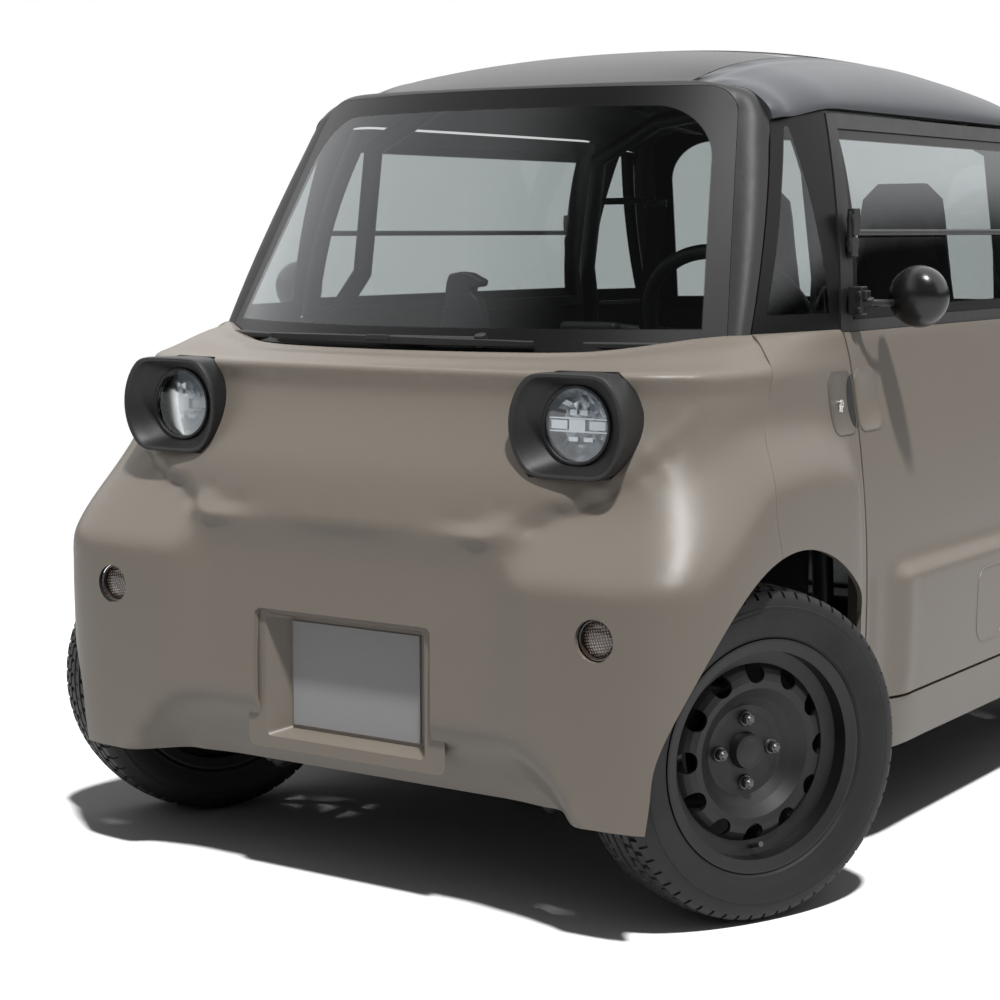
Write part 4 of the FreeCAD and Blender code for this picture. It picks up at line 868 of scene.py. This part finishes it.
class MICROCAR_OT_mirrors(bpy.types.Operator):
    """Door mirrors: a domed shell with its glass, on an arm in a clamp"""
    bl_idname = "microcar.mirrors"
    bl_label = "Door mirrors"

    def execute(self, context):
        for side, side_name in SIDES:
            low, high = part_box("mirror_" + side_name)
            radius = (high.z - low.z) / 2
            inner, outer = sorted((abs(low.x), abs(high.x)))
            centre = Vector((side * (outer - radius), high.y - 0.012, (low.z + high.z) / 2))
            self.head(side_name, centre, radius)
            self.clamp(side, side_name, centre, Vector((side * (inner + 0.018), low.y + 0.014, centre.z - 0.008)))
        return {"FINISHED"}

    def head(self, side_name, centre, radius):
        dome = [(0.0115, radius - 0.005), (0.012, radius - 0.0025), (0.010, radius - 0.0004), (0.004, radius)]
        dome += [(0.004 - 0.044 * math.sin(a), radius * math.cos(a) ** 0.82) for a in quarter_turn(16)[1:-1]]
        dome += [(-0.040, 0.0)]
        glass = [(0.006, 0.0), (0.0085, radius - 0.006), (0.0115, radius - 0.005), (0.0115, 0.0)]
        matrix = Matrix.Translation(centre) @ Matrix.Rotation(math.pi / 2, 4, "Z")
        shell = closed_lathe("mirror_dome_" + side_name, dome, 96, finishes["mirror_shell"], matrix, math.radians(50))
        seat_on(shell, "door_" + side_name, "trim_black", "mirror_" + side_name)
        seat_on(closed_lathe("mirror_glass_" + side_name, glass, 64, finishes["lamp_chrome"], matrix),
                "door_" + side_name, "trim_black", "mirror_" + side_name)

    def clamp(self, side, side_name, centre, grip):
        """Two-screw clamp on the window frame and the arm that it holds; grip is the clamp's middle."""
        def off(x, y, z):
            return grip + Vector((side * x, y, z))

        bm = bmesh.new()
        add_block(bm, off(-0.004, 0, 0.002), (0.026, 0.026, 0.050))
        add_block(bm, off(0.008, 0, 0.012), (0.018, 0.020, 0.016))
        for height in (0.014, -0.014):
            add_rod(bm, off(0.004, -0.011, height), off(0.004, -0.0165, height), 0.006, 6)
        add_rod(bm, grip, off(0.024, 0.006, 0), 0.0105, 20, 0.008)
        clamp = bevelled(mesh_piece("mirror_clamp_" + side_name, bm, finishes["trim_black"]), 0.0022, 3)
        seat_on(clamp, "door_" + side_name, "trim_black", "mirror_" + side_name)
        route = (off(0.014, 0.004, 0), off(0.036, 0.012, -0.003),
                 centre + Vector((-side * 0.034, -0.002, -0.010)), centre + Vector((-side * 0.012, 0, -0.004)))
        arm = tube("mirror_arm_" + side_name, route, 0.0062, finishes["trim_black"])
        seat_on(arm, "door_" + side_name, "trim_black", "mirror_" + side_name)


class MICROCAR_OT_window_bars(bpy.types.Operator):
    """Bars across the door windows, each end in a two-lobed hinge bracket"""
    bl_idname = "microcar.window_bars"
    bl_label = "Window bars"

    def execute(self, context):
        for side, side_name in SIDES:
            node = "window_bar_" + side_name
            low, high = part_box(node)
            inner, outer = sorted((abs(low.x), abs(high.x)))
            middle_z = (low.z + high.z) / 2
            x = side * (inner + outer) / 2
            bm = bmesh.new()
            add_rod(bm, (x, low.y + 0.004, middle_z), (x, high.y - 0.004, middle_z), 0.0056, 20)
            bar = seat_on(mesh_piece("bar_" + side_name, bm, finishes["trim_black"]), "door_" + side_name,
                          "trim_black", node)
            bm = bmesh.new()
            for end in (-1, 1):
                y = high.y - 0.015 if end > 0 else low.y + 0.015
                for z0, z1, share in ((middle_z - 0.004, high.z, 1.0), (low.z, middle_z - 0.009, 0.8)):
                    depth, z = (outer - inner) * share, (z0 + z1) / 2
                    add_block(bm, (side * (inner + depth / 2 + 0.0005), y, z), (depth, 0.026, z1 - z0))
                    add_rod(bm, (side * inner, y, z + 0.004), (side * (inner + depth), y, z + 0.004), 0.0155, 28)
                pin = (side * (inner + 0.006), y + end * 0.012)
                add_rod(bm, (*pin, middle_z - 0.034), (*pin, middle_z + 0.036), 0.0042, 14)
            piece = bevelled(mesh_piece("bar_bracket_" + side_name, bm, finishes["trim_black"]), 0.0018, 3)
            seat_on(piece, "door_" + side_name, "trim_black", node)
        return {"FINISHED"}


class MICROCAR_OT_wiper(bpy.types.Operator):
    """Windscreen wiper: a bowed blade under its sprung arm"""
    bl_idname = "microcar.wiper"
    bl_label = "Wiper"

    def execute(self, context):
        low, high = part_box("wiper")
        span = max(abs(low.x), abs(high.x))

        def at(x, out=0.0, up=0.0):
            share = (x / span) ** 2
            return Vector((x, low.y + 0.010 + (high.y - low.y - 0.020) * share - out, low.z + 0.008 + up))

        bm = bmesh.new()
        steps = 24
        grid = []
        for k in range(steps + 1):
            x = low.x + (high.x - low.x) * k / steps
            thick = 0.0035 + 0.0045 * math.sin(math.pi * k / steps)
            foot = at(x)
            grid.append([foot + Vector((0, 0.0045, -0.0065)), foot + Vector((0, -0.0035, -0.0055)),
                         foot + Vector((0, -0.0055, thick)), foot + Vector((0, 0.0015, thick + 0.0012))])
        add_prism(bm, grid)
        hub = at(0.165, -0.010, 0.004)
        add_rod(bm, hub + Vector((0, 0.004, -0.010)), hub + Vector((0, -0.002, 0.010)), 0.013, 24, 0.010)
        add_rod(bm, hub, at(-0.02, 0.002, 0.006), 0.0062, 12, 0.0042)
        add_block(bm, at(-0.03, 0.001, 0.0055), (0.050, 0.011, 0.009))
        seat_on(bevelled(mesh_piece("wiper_arm_and_blade", bm, finishes["trim_dark"]), 0.001, 2), "chassis",
                "trim_black", "wiper")
        return {"FINISHED"}


# A seat's shell up its middle: share of the way, distance behind the seat's place, height above the ground,
# half width, in metres
SEAT_LINE = (
    (0.0, -0.428, 0.392, 0.178), (0.06, -0.395, 0.402, 0.198), (0.20, -0.280, 0.404, 0.204),
    (0.33, -0.150, 0.404, 0.204), (0.42, -0.060, 0.408, 0.203), (0.47, -0.020, 0.428, 0.203),
    (0.51, -0.006, 0.470, 0.202), (0.58, -0.003, 0.550, 0.194), (0.72, -0.002, 0.745, 0.168),
    (0.84, -0.002, 0.932, 0.132), (0.92, -0.002, 1.080, 0.108), (0.97, -0.003, 1.180, 0.096),
    (0.99, -0.004, 1.218, 0.084), (1.0, -0.005, 1.236, 0.056),
)
SEAT_WALL = 0.011
SEAT_CURL = 0.020
LEG_TOP, LEG_SPREAD, LEG_MIDDLE = 0.392, 0.175, -0.250
CLOTH_STEPS = 20
# Pads: name, where each starts and ends on the shell's line, thickness
PADS = (("base", 0.05, 0.40, 0.034), ("back", 0.56, 0.86, 0.036), ("head", 0.90, 0.975, 0.028))


def line_value(table, at, column):
    """Smooth value of a column of a table at a share of the way."""
    k = 0
    while k < len(table) - 2 and table[k + 1][0] < at:
        k += 1
    rows = [table[max(0, min(len(table) - 1, k + j))] for j in (-1, 0, 1, 2)]
    t = (at - rows[1][0]) / (rows[2][0] - rows[1][0])
    a, b, c, d = [row[column] for row in rows]
    return b + 0.5 * t * (c - a + t * (2 * a - 5 * b + 4 * c - d + t * (3 * (b - c) + d - a)))


def seat_point(place, share, across, lift):
    """Point over a seat's shell; place is the seat's x and y."""
    def centre(at):
        return Vector((0, line_value(SEAT_LINE, at, 1), line_value(SEAT_LINE, at, 2)))

    along = (centre(min(share + 0.012, 1.0)) - centre(max(share - 0.012, 0.0))).normalized()
    out = X_AXIS.cross(along)
    half = line_value(SEAT_LINE, share, 3)
    rise = lift + SEAT_CURL * across ** 6
    return Vector((place[0], place[1], 0)) + centre(share) + X_AXIS * half * across + out * rise


def swollen(piece, limit, voxel=0.006):
    """Blows a pad up with a short cloth run and keeps the result, each point moved by limit at most."""
    remesh = piece.modifiers.new("voxels", "REMESH")
    remesh.mode, remesh.voxel_size = "VOXEL", voxel
    applied(piece)
    before = [vertex.co.copy() for vertex in piece.data.vertices]
    cloth = piece.modifiers.new("cloth", "CLOTH")
    cloth.settings.use_pressure = True
    cloth.settings.uniform_pressure_force = 4.0
    cloth.settings.quality = 4
    cloth.settings.effector_weights.gravity = 0.0
    cloth.collision_settings.use_collision = False
    scene = bpy.context.scene
    for number in range(1, CLOTH_STEPS + 1):
        scene.frame_set(number)
        bpy.context.view_layer.update()
    applied(piece)
    scene.frame_set(1)
    for vertex, old in zip(piece.data.vertices, before):
        move = vertex.co - old
        if move.length > limit:
            vertex.co = old + move.normalized() * limit
    return piece


def applied(piece):
    """Keeps what a piece's modifiers make as its own mesh."""
    graph = bpy.context.evaluated_depsgraph_get()
    mesh = bpy.data.meshes.new_from_object(piece.evaluated_get(graph))
    piece.modifiers.clear()
    old = piece.data
    piece.data = mesh
    bpy.data.meshes.remove(old)
    for polygon in mesh.polygons:
        polygon.use_smooth = True
    return piece


class MICROCAR_OT_seats(bpy.types.Operator):
    """Moulded seat shells on legs, with padded covers"""
    bl_idname = "microcar.seats"
    bl_label = "Seats"

    def execute(self, context):
        pads = {}
        for name, low, high, thick in PADS:
            pads[name] = self.pad(name, low, high, thick)
        for side, side_name in SIDES:
            low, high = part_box("seat_" + side_name)
            place = ((low.x + high.x) / 2, high.y - 0.020)
            self.shell(side_name, place, low)
            for name, pad in pads.items():
                piece = bpy.data.objects.new("seat_%s_%s" % (name, side_name), pad.data)
                context.scene.collection.objects.link(piece)
                piece.location = (place[0], place[1], 0)
                seat_on(piece, "chassis", "seat_fabric", "seat_pads_" + side_name)
        for pad in pads.values():
            bpy.data.objects.remove(pad)
        return {"FINISHED"}

    def shell(self, side_name, place, low):
        bm = bmesh.new()
        rows, columns = 48, 20
        across = [2 * j / columns - 1 for j in range(columns + 1)]
        grid = []
        for k in range(rows + 1):
            top = [seat_point(place, k / rows, at, 0.0) for at in across]
            under = [seat_point(place, k / rows, at, -SEAT_WALL) for at in reversed(across)]
            grid.append(top + under)
        add_prism(bm, grid)
        legs = bmesh.new()
        y = place[1] + LEG_MIDDLE
        for sign in (-1, 1):
            middle_z = (low.z + LEG_TOP) / 2
            add_block(legs, (place[0] + sign * LEG_SPREAD, y, middle_z), (0.022, 0.280, LEG_TOP - low.z))
            add_block(legs, (place[0] + sign * (LEG_SPREAD - 0.003), y, low.z + 0.002), (0.034, 0.300, 0.004))
        shell = mesh_piece("seat_shell_" + side_name, bm, finishes["seat_shell"], math.radians(50))
        seat_on(bevelled(shell, 0.003, 2, 50), "chassis", "seat_shell", "seat_" + side_name)
        frame_legs = mesh_piece("seat_legs_" + side_name, legs, finishes["tube_steel"])
        seat_on(bevelled(frame_legs, 0.003, 2), "chassis", "seat_shell", "seat_" + side_name)

    def pad(self, name, low, high, thick):
        """Padded cover with a crowned top, its sides drawn in at mid length, over the origin."""
        bm = bmesh.new()
        rows, columns = 22, 14
        loops = []
        for crowned in (0, 1):
            grid = []
            for k in range(rows + 1):
                share = low + (high - low) * k / rows
                edge = min(k, rows - k) / rows
                reach = 0.82 * (1 - 0.035 * (1 - (2 * k / rows - 1) ** 2))
                line = []
                for j in range(columns + 1):
                    across = 2 * j / columns - 1
                    crown = thick * min(1.0, 0.35 + 2.2 * edge) * (1 - 0.45 * abs(across) ** 4)
                    line.append(seat_point((0, 0), share, across * reach, 0.0015 + crowned * crown))
                grid.append(line)
            made = add_grid(bm, grid)
            loops.append(made[0] + [line[-1] for line in made[1:]] + made[-1][-2::-1]
                         + [line[0] for line in made[-2:0:-1]])
        lower, upper = loops
        for k in range(len(lower)):
            n = (k + 1) % len(lower)
            bm.faces.new((lower[k], lower[n], upper[n], upper[k]))
        piece = mesh_piece("pad_" + name, bm, finishes["seat_fabric"])
        swollen(piece, 0.007)
        smooth = piece.modifiers.new("smooth", "SUBSURF")
        smooth.levels = smooth.render_levels = 1
        return applied(piece)


BELT_TOP = {"left": (0.47, 0.560, 1.195), "right": (-0.405, 0.560, 1.195)}
# Fall of a belt's webbing from its guide: outward, along the car, up
BELT_FALL = (
    (0.0, 0.004, 0.0), (0.004, 0.002, -0.10), (0.012, -0.004, -0.22), (0.020, -0.006, -0.45), (0.045, -0.012, -0.80),
    (0.060, -0.014, -0.96),
)
BELT_ACROSS = (0.75, 0.66, 0)


class MICROCAR_OT_belts(bpy.types.Operator):
    """Seat belts hanging from guides on the rear hoop, with their tongues"""
    bl_idname = "microcar.belts"
    bl_label = "Seat belts"

    def execute(self, context):
        width = context.scene.microcar_sizes.belt_width
        for side, side_name in SIDES:
            top = Vector(BELT_TOP[side_name])
            points = [top + Vector((side * x, y, z)) for x, y, z in BELT_FALL]
            fine = [points[0]]
            for a, b in zip(points, points[1:]):
                fine += [a.lerp(b, t / 4) for t in range(1, 5)]
            web = strap("belt_web_" + side_name, fine, BELT_ACROSS, width, 0.0016, finishes["belt_web"])
            seat_on(web, "chassis", "seat_shell")
            bm = bmesh.new()
            add_rod(bm, (side * 0.503, 0.445, 1.205), (top.x, 0.556, 1.208), 0.008, 14)
            add_block(bm, top + Vector((0, 0, 0.006)), (0.060, 0.012, 0.018))
            add_block(bm, points[-1] + Vector((0, 0, -0.03)), (0.06, 0.05, 0.09))
            guide = mesh_piece("belt_guide_" + side_name, bm, finishes["trim_dark"])
            seat_on(bevelled(guide, 0.003, 2), "chassis", "seat_shell")
            bm = bmesh.new()
            middle = top + Vector((side * 0.013, -0.012, -0.235))
            add_block(bm, middle, (0.030, 0.004, 0.022))
            add_block(bm, middle + Vector((0, 0, -0.020)), (0.019, 0.003, 0.024))
            tongue = mesh_piece("belt_tongue_" + side_name, bm, finishes["belt_tongue"])
            seat_on(bevelled(tongue, 0.001, 2), "chassis", "seat_shell")
        return {"FINISHED"}


# Phone clamp on the dashboard, across the car and up
CLAMP_OUTLINE = (
    (-0.060, 0.935), (-0.052, 0.975), (-0.044, 1.016), (-0.040, 1.044), (-0.034, 1.058), (-0.010, 1.062),
    (0.008, 1.060), (0.037, 1.047), (0.034, 1.036), (0.014, 1.034), (0.012, 1.026), (0.028, 1.014), (0.036, 0.990),
    (0.040, 0.965), (0.045, 0.935),
)
SHELF_TOP, SHELF_HALF, SHELF_WALL, SHELF_BOW = 0.950, 0.480, 0.012, 0.34
DISPLAY_X = 0.256


class MICROCAR_OT_cabin(bpy.types.Operator):
    """Dashboard shelf, phone clamp and display"""
    bl_idname = "microcar.cabin"
    bl_label = "Cabin"

    def execute(self, context):
        low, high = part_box("dashboard")
        back = low.y + 0.030
        self.shelf(low, high, back)
        self.phone_clamp(back)
        bm = bmesh.new()
        add_block(bm, (DISPLAY_X, back - 0.010, SHELF_TOP + 0.012), (0.116, 0.030, 0.030))
        add_block(bm, (DISPLAY_X, back + 0.012, SHELF_TOP - 0.034), (0.150, 0.026, 0.088))
        hood = mesh_piece("display_hood", bm, finishes["trim_dark"])
        seat_on(bevelled(hood, 0.009, 4), "chassis", "trim_black")
        return {"FINISHED"}

    def shelf(self, low, high, back):
        """Shelf from the dashboard to the foot of the windscreen, whose bow it follows."""
        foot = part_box("windshield")[0].y
        grid = []
        for k in range(25):
            x = SHELF_HALF * (2 * k / 24 - 1)
            front = foot + 0.042 + SHELF_BOW * x * x
            under = SHELF_TOP - SHELF_WALL
            grid.append([(x, front, SHELF_TOP), (x, back, SHELF_TOP), (x, back, under), (x, front, under)])
        bm = bmesh.new()
        add_prism(bm, grid)
        middle = (0, low.y + 0.015, (high.z + SHELF_TOP) / 2 - 0.008)
        add_block(bm, middle, (2 * SHELF_HALF, 0.028, SHELF_TOP - high.z))
        shelf = mesh_piece("dash_shelf", bm, finishes["trim_black"])
        seat_on(bevelled(shelf, 0.003, 2), "chassis", "trim_black")

    def phone_clamp(self, back):
        bm = bmesh.new()
        add_prism(bm, [[(x, y, z) for x, z in CLAMP_OUTLINE] for y in (back - 0.030, back - 0.002)])
        clamp = mesh_piece("phone_clamp", bm, finishes["trim_black"])
        seat_on(bevelled(clamp, 0.004, 3, 25), "chassis", "trim_black")


# Door handle, from the middle of the car toward the shut line: pocket in the side panel, leaf on the door, in metres
HANDLE_LOW, HANDLE_HIGH, HANDLE_CORNER = 0.782, 0.893, 0.024
POCKET_NEAR, POCKET_FAR = 0.543, 0.640
LEAF_NEAR, LEAF_FAR = 0.437, 0.5335
LOCK_Y, LOCK_Z = 0.604, 0.836
# Rings of the pocket's painted-shade dish and of the leaf: share of the outline, height off the panel
POCKET_RINGS = ((1.0, -0.001), (0.992, 0.0012), (0.95, 0.0012), (0.93, 0.0003))
LEAF_RINGS = ((1.0, -0.001), (0.992, 0.0012), (0.93, 0.0014), (0.90, 0.0004))
LOCK_BARREL = ((-0.002, 0.0085), (0.005, 0.0085), (0.0062, 0.0075), (0.0062, 0.0055), (0.0046, 0.005), (0.0046, 0.0))
DOOR_RECESS = (-0.070, 0.070, 0.335, 0.485, 0.040)
RECESS_RIM = 0.955


class MICROCAR_OT_door_details(bpy.types.Operator):
    """Door handle pockets, shown by painted shade with a painted shadow in the finger hole, with their locks, and the
    bare recess on each door
    """
    bl_idname = "microcar.door_details"
    bl_label = "Door details"

    def execute(self, context):
        for side, side_name in SIDES:
            # The handle is at the edge away from the hinges: front on the left, rear on the right
            end, end_name = (-1, "front") if side > 0 else (1, "rear")
            door = "door_" + side_name
            self.pocket("side_panel_%s_%s" % (end_name, side_name), side, side_name, end)
            leaf = self.handle_outline(end, LEAF_NEAR, LEAF_FAR)
            rings = [(shrunk(leaf, share), lift) for share, lift in LEAF_RINGS]
            seat_on(inlay("door_leaf_" + side_name, door, side, rings, finishes["body_grey"]), door, "body_grey")
            square = outline_points(*DOOR_RECESS)
            inner = shrunk(square, RECESS_RIM)
            rings = ((square, -0.001), (shrunk(square, 0.99), 0.001), (inner, 0.001), (shrunk(inner, 0.99), -0.001))
            rim = inlay("door_recess_" + side_name, door, side, rings, finishes["body_grey"], filled=False)
            seat_on(rim, door, "body_grey")
        return {"FINISHED"}

    def handle_outline(self, end, near, far):
        return outline_points(*sorted((end * near, end * far)), HANDLE_LOW, HANDLE_HIGH, HANDLE_CORNER)

    def pocket(self, panel, side, side_name, end):
        # The pocket is not cut: a shallow dish in darkened body colour stands in for its shaded inner wall, painted
        # shade
        outline = self.handle_outline(end, POCKET_NEAR, POCKET_FAR)
        rings = [(shrunk(outline, share), lift) for share, lift in POCKET_RINGS]
        seat_on(inlay("handle_pocket_painted_shade_" + side_name, panel, side, rings, finishes["body_painted_shade"]), "chassis", "body_grey")
        # Black crescent on the panel where the fingers go behind the door's edge: painted shadow of the gap
        rings = []
        for grow, lift in ((1.0, 0.0004), (0.97, 0.0012)):
            turns = [math.pi * (k / 16 - 0.5) for k in range(17)]
            rings.append(([(end * (0.5435 + 0.030 * grow * math.cos(a)), 0.8375 + 0.047 * grow * math.sin(a))
                           for a in turns], lift))
        hole = inlay("handle_hole_painted_shadow_" + side_name, panel, side, rings, finishes["finger_hole_painted_shadow"], sharp=SHARP_ANGLE)
        seat_on(hole, "chassis", "trim_black")
        y, z = end * LOCK_Y, LOCK_Z
        x = surface_x(panel, side, y, z)
        matrix = Matrix.Translation((side * x, y, z)) @ Matrix.Rotation(0 if side > 0 else math.pi, 4, "Z")
        barrel = closed_lathe("lock_barrel_" + side_name, LOCK_BARREL, 40, finishes["bright_metal"], matrix)
        seat_on(barrel, "chassis", "trim_black")
        bm = bmesh.new()
        add_block(bm, (side * (x + 0.0048), y, z), (0.0012, 0.0016, 0.0072))
        add_block(bm, (side * (x + 0.002), y - end * 0.001, z - 0.0125), (0.004, 0.014, 0.012))
        plate = mesh_piece("lock_plate_" + side_name, bm, finishes["bright_metal"])
        seat_on(bevelled(plate, 0.0005, 2), "chassis", "trim_black")


PLATE_WALL = 0.003


class MICROCAR_OT_plates(bpy.types.Operator):
    """Blank number plates on their carriers"""
    bl_idname = "microcar.plates"
    bl_label = "Number plates"

    def execute(self, context):
        low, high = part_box("number_plates")
        for end, end_name in ENDS:
            y = high.y if end > 0 else low.y
            size = (high.x - low.x - 0.001, PLATE_WALL, high.z - low.z - 0.001)
            bm = bmesh.new()
            add_block(bm, (0, y - end * PLATE_WALL / 2, (low.z + high.z) / 2), size)
            piece = bevelled(mesh_piece("plate_" + end_name, bm, finishes["plate_grey"]), 0.0007, 2)
            seat_on(piece, "chassis", "plate_grey", "number_plates")
        return {"FINISHED"}


SPRING_TURNS, SPRING_POINTS, SPRING_RADIUS, SPRING_WIRE = 5.5, 110, 0.043, 0.0055
SPRING_X, SPRING_FOOT, SPRING_HEIGHT = 0.465, 0.470, 0.150


class MICROCAR_OT_springs(bpy.types.Operator):
    """Coil springs round the struts at the four corners"""
    bl_idname = "microcar.springs"
    bl_label = "Springs"

    def execute(self, context):
        axle = joint_named["wheel_rear_left_spin"]["pos_m"][1]
        for end, side, corner in corners():
            points = []
            for k in range(SPRING_POINTS + 1):
                share = k / SPRING_POINTS
                angle = 2 * math.pi * SPRING_TURNS * share
                points.append((side * SPRING_X + SPRING_RADIUS * math.cos(angle),
                               end * axle + SPRING_RADIUS * math.sin(angle), SPRING_FOOT + SPRING_HEIGHT * share))
            seat_on(tube("coil_" + corner, points, SPRING_WIRE, finishes["tube_steel"]), "chassis", "arm_steel")
        return {"FINISHED"}


CAMERA_PLACE = (2.28797, -4.07272, 1.13220)
CAMERA_AZIMUTH, CAMERA_ELEVATION, CAMERA_ROLL = 0.596824, 0.121086, -0.0021
SUN_FROM = (0.40, -0.36, 1.2)
SUN_SPREAD = math.radians(4)
KEY_STRENGTH, FLOOR_KEY_STRENGTH = 3.2, 4.9
FLOOR_REACH = 40.0


class MICROCAR_OT_stage(bpy.types.Operator):
    """Pale floor, soft lights and the camera"""
    bl_idname = "microcar.stage"
    bl_label = "Stage"

    def execute(self, context):
        scene = context.scene
        scene.view_settings.view_transform = "Standard"
        bm = bmesh.new()
        bmesh.ops.create_grid(bm, x_segments=2, y_segments=2, size=FLOOR_REACH)
        floor = mesh_piece("floor", bm, self.floor_finish())
        self.sky(scene)
        self.sun("key", KEY_STRENGTH)
        floor_key = self.sun("floor_key", FLOOR_KEY_STRENGTH)
        lit = bpy.data.collections.new("floor_only")
        lit.objects.link(floor)
        floor_key.light_linking.receiver_collection = lit
        self.camera(scene)
        return {"FINISHED"}

    def camera(self, scene):
        camera = bpy.data.objects.new("camera", bpy.data.cameras.new("camera"))
        scene.collection.objects.link(camera)
        level = math.cos(CAMERA_ELEVATION)
        back = Vector((math.sin(CAMERA_AZIMUTH) * level, -math.cos(CAMERA_AZIMUTH) * level,
                       math.sin(CAMERA_ELEVATION)))
        turn = (-back).to_track_quat("-Z", "Y").to_matrix().to_4x4() @ Matrix.Rotation(CAMERA_ROLL, 4, "Z")
        camera.rotation_mode = "QUATERNION"
        camera.matrix_world = Matrix.Translation(CAMERA_PLACE) @ turn
        camera.data.sensor_width = 36.0
        camera.data.lens = scene.microcar_sizes.camera_lens
        scene.camera = camera

    def floor_finish(self):
        """Matt floor that keeps the shadow, turning to plain white far off, and dimmer to bounced light."""
        finish = Finish("floor_pale")
        seen = finish.ray("Camera", "Glossy", "Transmission")
        pale = finish.mix((0.49, 0.49, 0.492), (0.51, 0.51, 0.512), finish.noise(0.7, 2.0))
        base = finish.mix((0.17, 0.17, 0.172), pale, seen)
        matt = finish.surface(base_color=base, roughness=0.9, specular_ior_level=0.1)
        dim, white = [finish.node("Emission", None, {"Color": (1, 1, 1), "Strength": level}) for level in (0.35, 1.0)]
        glow = finish.node("MixShader", None, {0: seen, 1: dim, 2: white})
        distance = finish.node("VectorMath", {"operation": "LENGTH"}, {0: finish.place()}, "Value")
        return finish.end(finish.node("MixShader", None, {0: distance.smooth(2.4, 5.5), 1: matt, 2: glow}))

    def sky(self, scene):
        """White to the eye and through glass; gloss mirrors a dark quarter ahead of the car's left side."""
        scene.world = bpy.data.worlds.new("studio")
        studio = Graph(scene.world)
        x, y, z = studio.axes(studio.node("TexCoord"))
        dark_quarter = x.smooth(-0.55, 0.0) * (0.0 - y).smooth(-0.1, 0.3)
        mirrored = (1.0 - 0.95 * dark_quarter) * z.smooth(0.12, 0.26) * 1.5 + 0.03
        plain = studio.ray("Camera", "Transmission")
        glossy = studio.ray("Glossy") * (1.0 - plain)
        ambient = 0.04 + 0.30 * z.smooth(0.0, 0.9)
        strength = plain + glossy * mirrored + (1.0 - plain) * (1.0 - glossy) * ambient
        studio.finish_at("World", studio.node("Background", None, {"Color": (1, 1, 1), "Strength": strength}))

    def sun(self, name, strength):
        lamp = bpy.data.lights.new(name, "SUN")
        lamp.energy, lamp.angle = strength, SUN_SPREAD
        sun = bpy.data.objects.new(name, lamp)
        bpy.context.scene.collection.objects.link(sun)
        sun.rotation_mode = "QUATERNION"
        sun.rotation_quaternion = Vector(SUN_FROM).to_track_quat("Z", "Y")
        return sun


OPERATORS = (
    MICROCAR_OT_finishes,
    MICROCAR_OT_tyres,
    MICROCAR_OT_wheel_trim,
    MICROCAR_OT_headlamps,
    MICROCAR_OT_indicators,
    MICROCAR_OT_mirrors,
    MICROCAR_OT_window_bars,
    MICROCAR_OT_wiper,
    MICROCAR_OT_seats,
    MICROCAR_OT_belts,
    MICROCAR_OT_cabin,
    MICROCAR_OT_door_details,
    MICROCAR_OT_plates,
    MICROCAR_OT_springs,
    MICROCAR_OT_stage,
)


class MICROCAR_PT_panel(bpy.types.Panel):
    """Lists the car's settings and pieces"""
    bl_idname = "MICROCAR_PT_panel"
    bl_label = "Microcar"
    bl_space_type = "VIEW_3D"
    bl_region_type = "UI"
    bl_category = "Microcar"

    def draw(self, context):
        for group in (context.scene.microcar_look, context.scene.microcar_sizes):
            for name in group.__annotations__:
                self.layout.prop(group, name)
        for operator in OPERATORS:
            self.layout.operator(operator.bl_idname)


CLASSES = (MicrocarLook, MicrocarSizes, *OPERATORS, MICROCAR_PT_panel)


def register():
    for cls in CLASSES:
        bpy.utils.register_class(cls)
    bpy.types.Scene.microcar_look = bpy.props.PointerProperty(type=MicrocarLook)
    bpy.types.Scene.microcar_sizes = bpy.props.PointerProperty(type=MicrocarSizes)


def unregister():
    del bpy.types.Scene.microcar_sizes
    del bpy.types.Scene.microcar_look
    for cls in reversed(CLASSES):
        bpy.utils.unregister_class(cls)


def main():
    register()
    for operator in OPERATORS:
        group, name = operator.bl_idname.split(".")
        getattr(getattr(bpy.ops, group), name)()


if __name__ == "__main__":
    main()
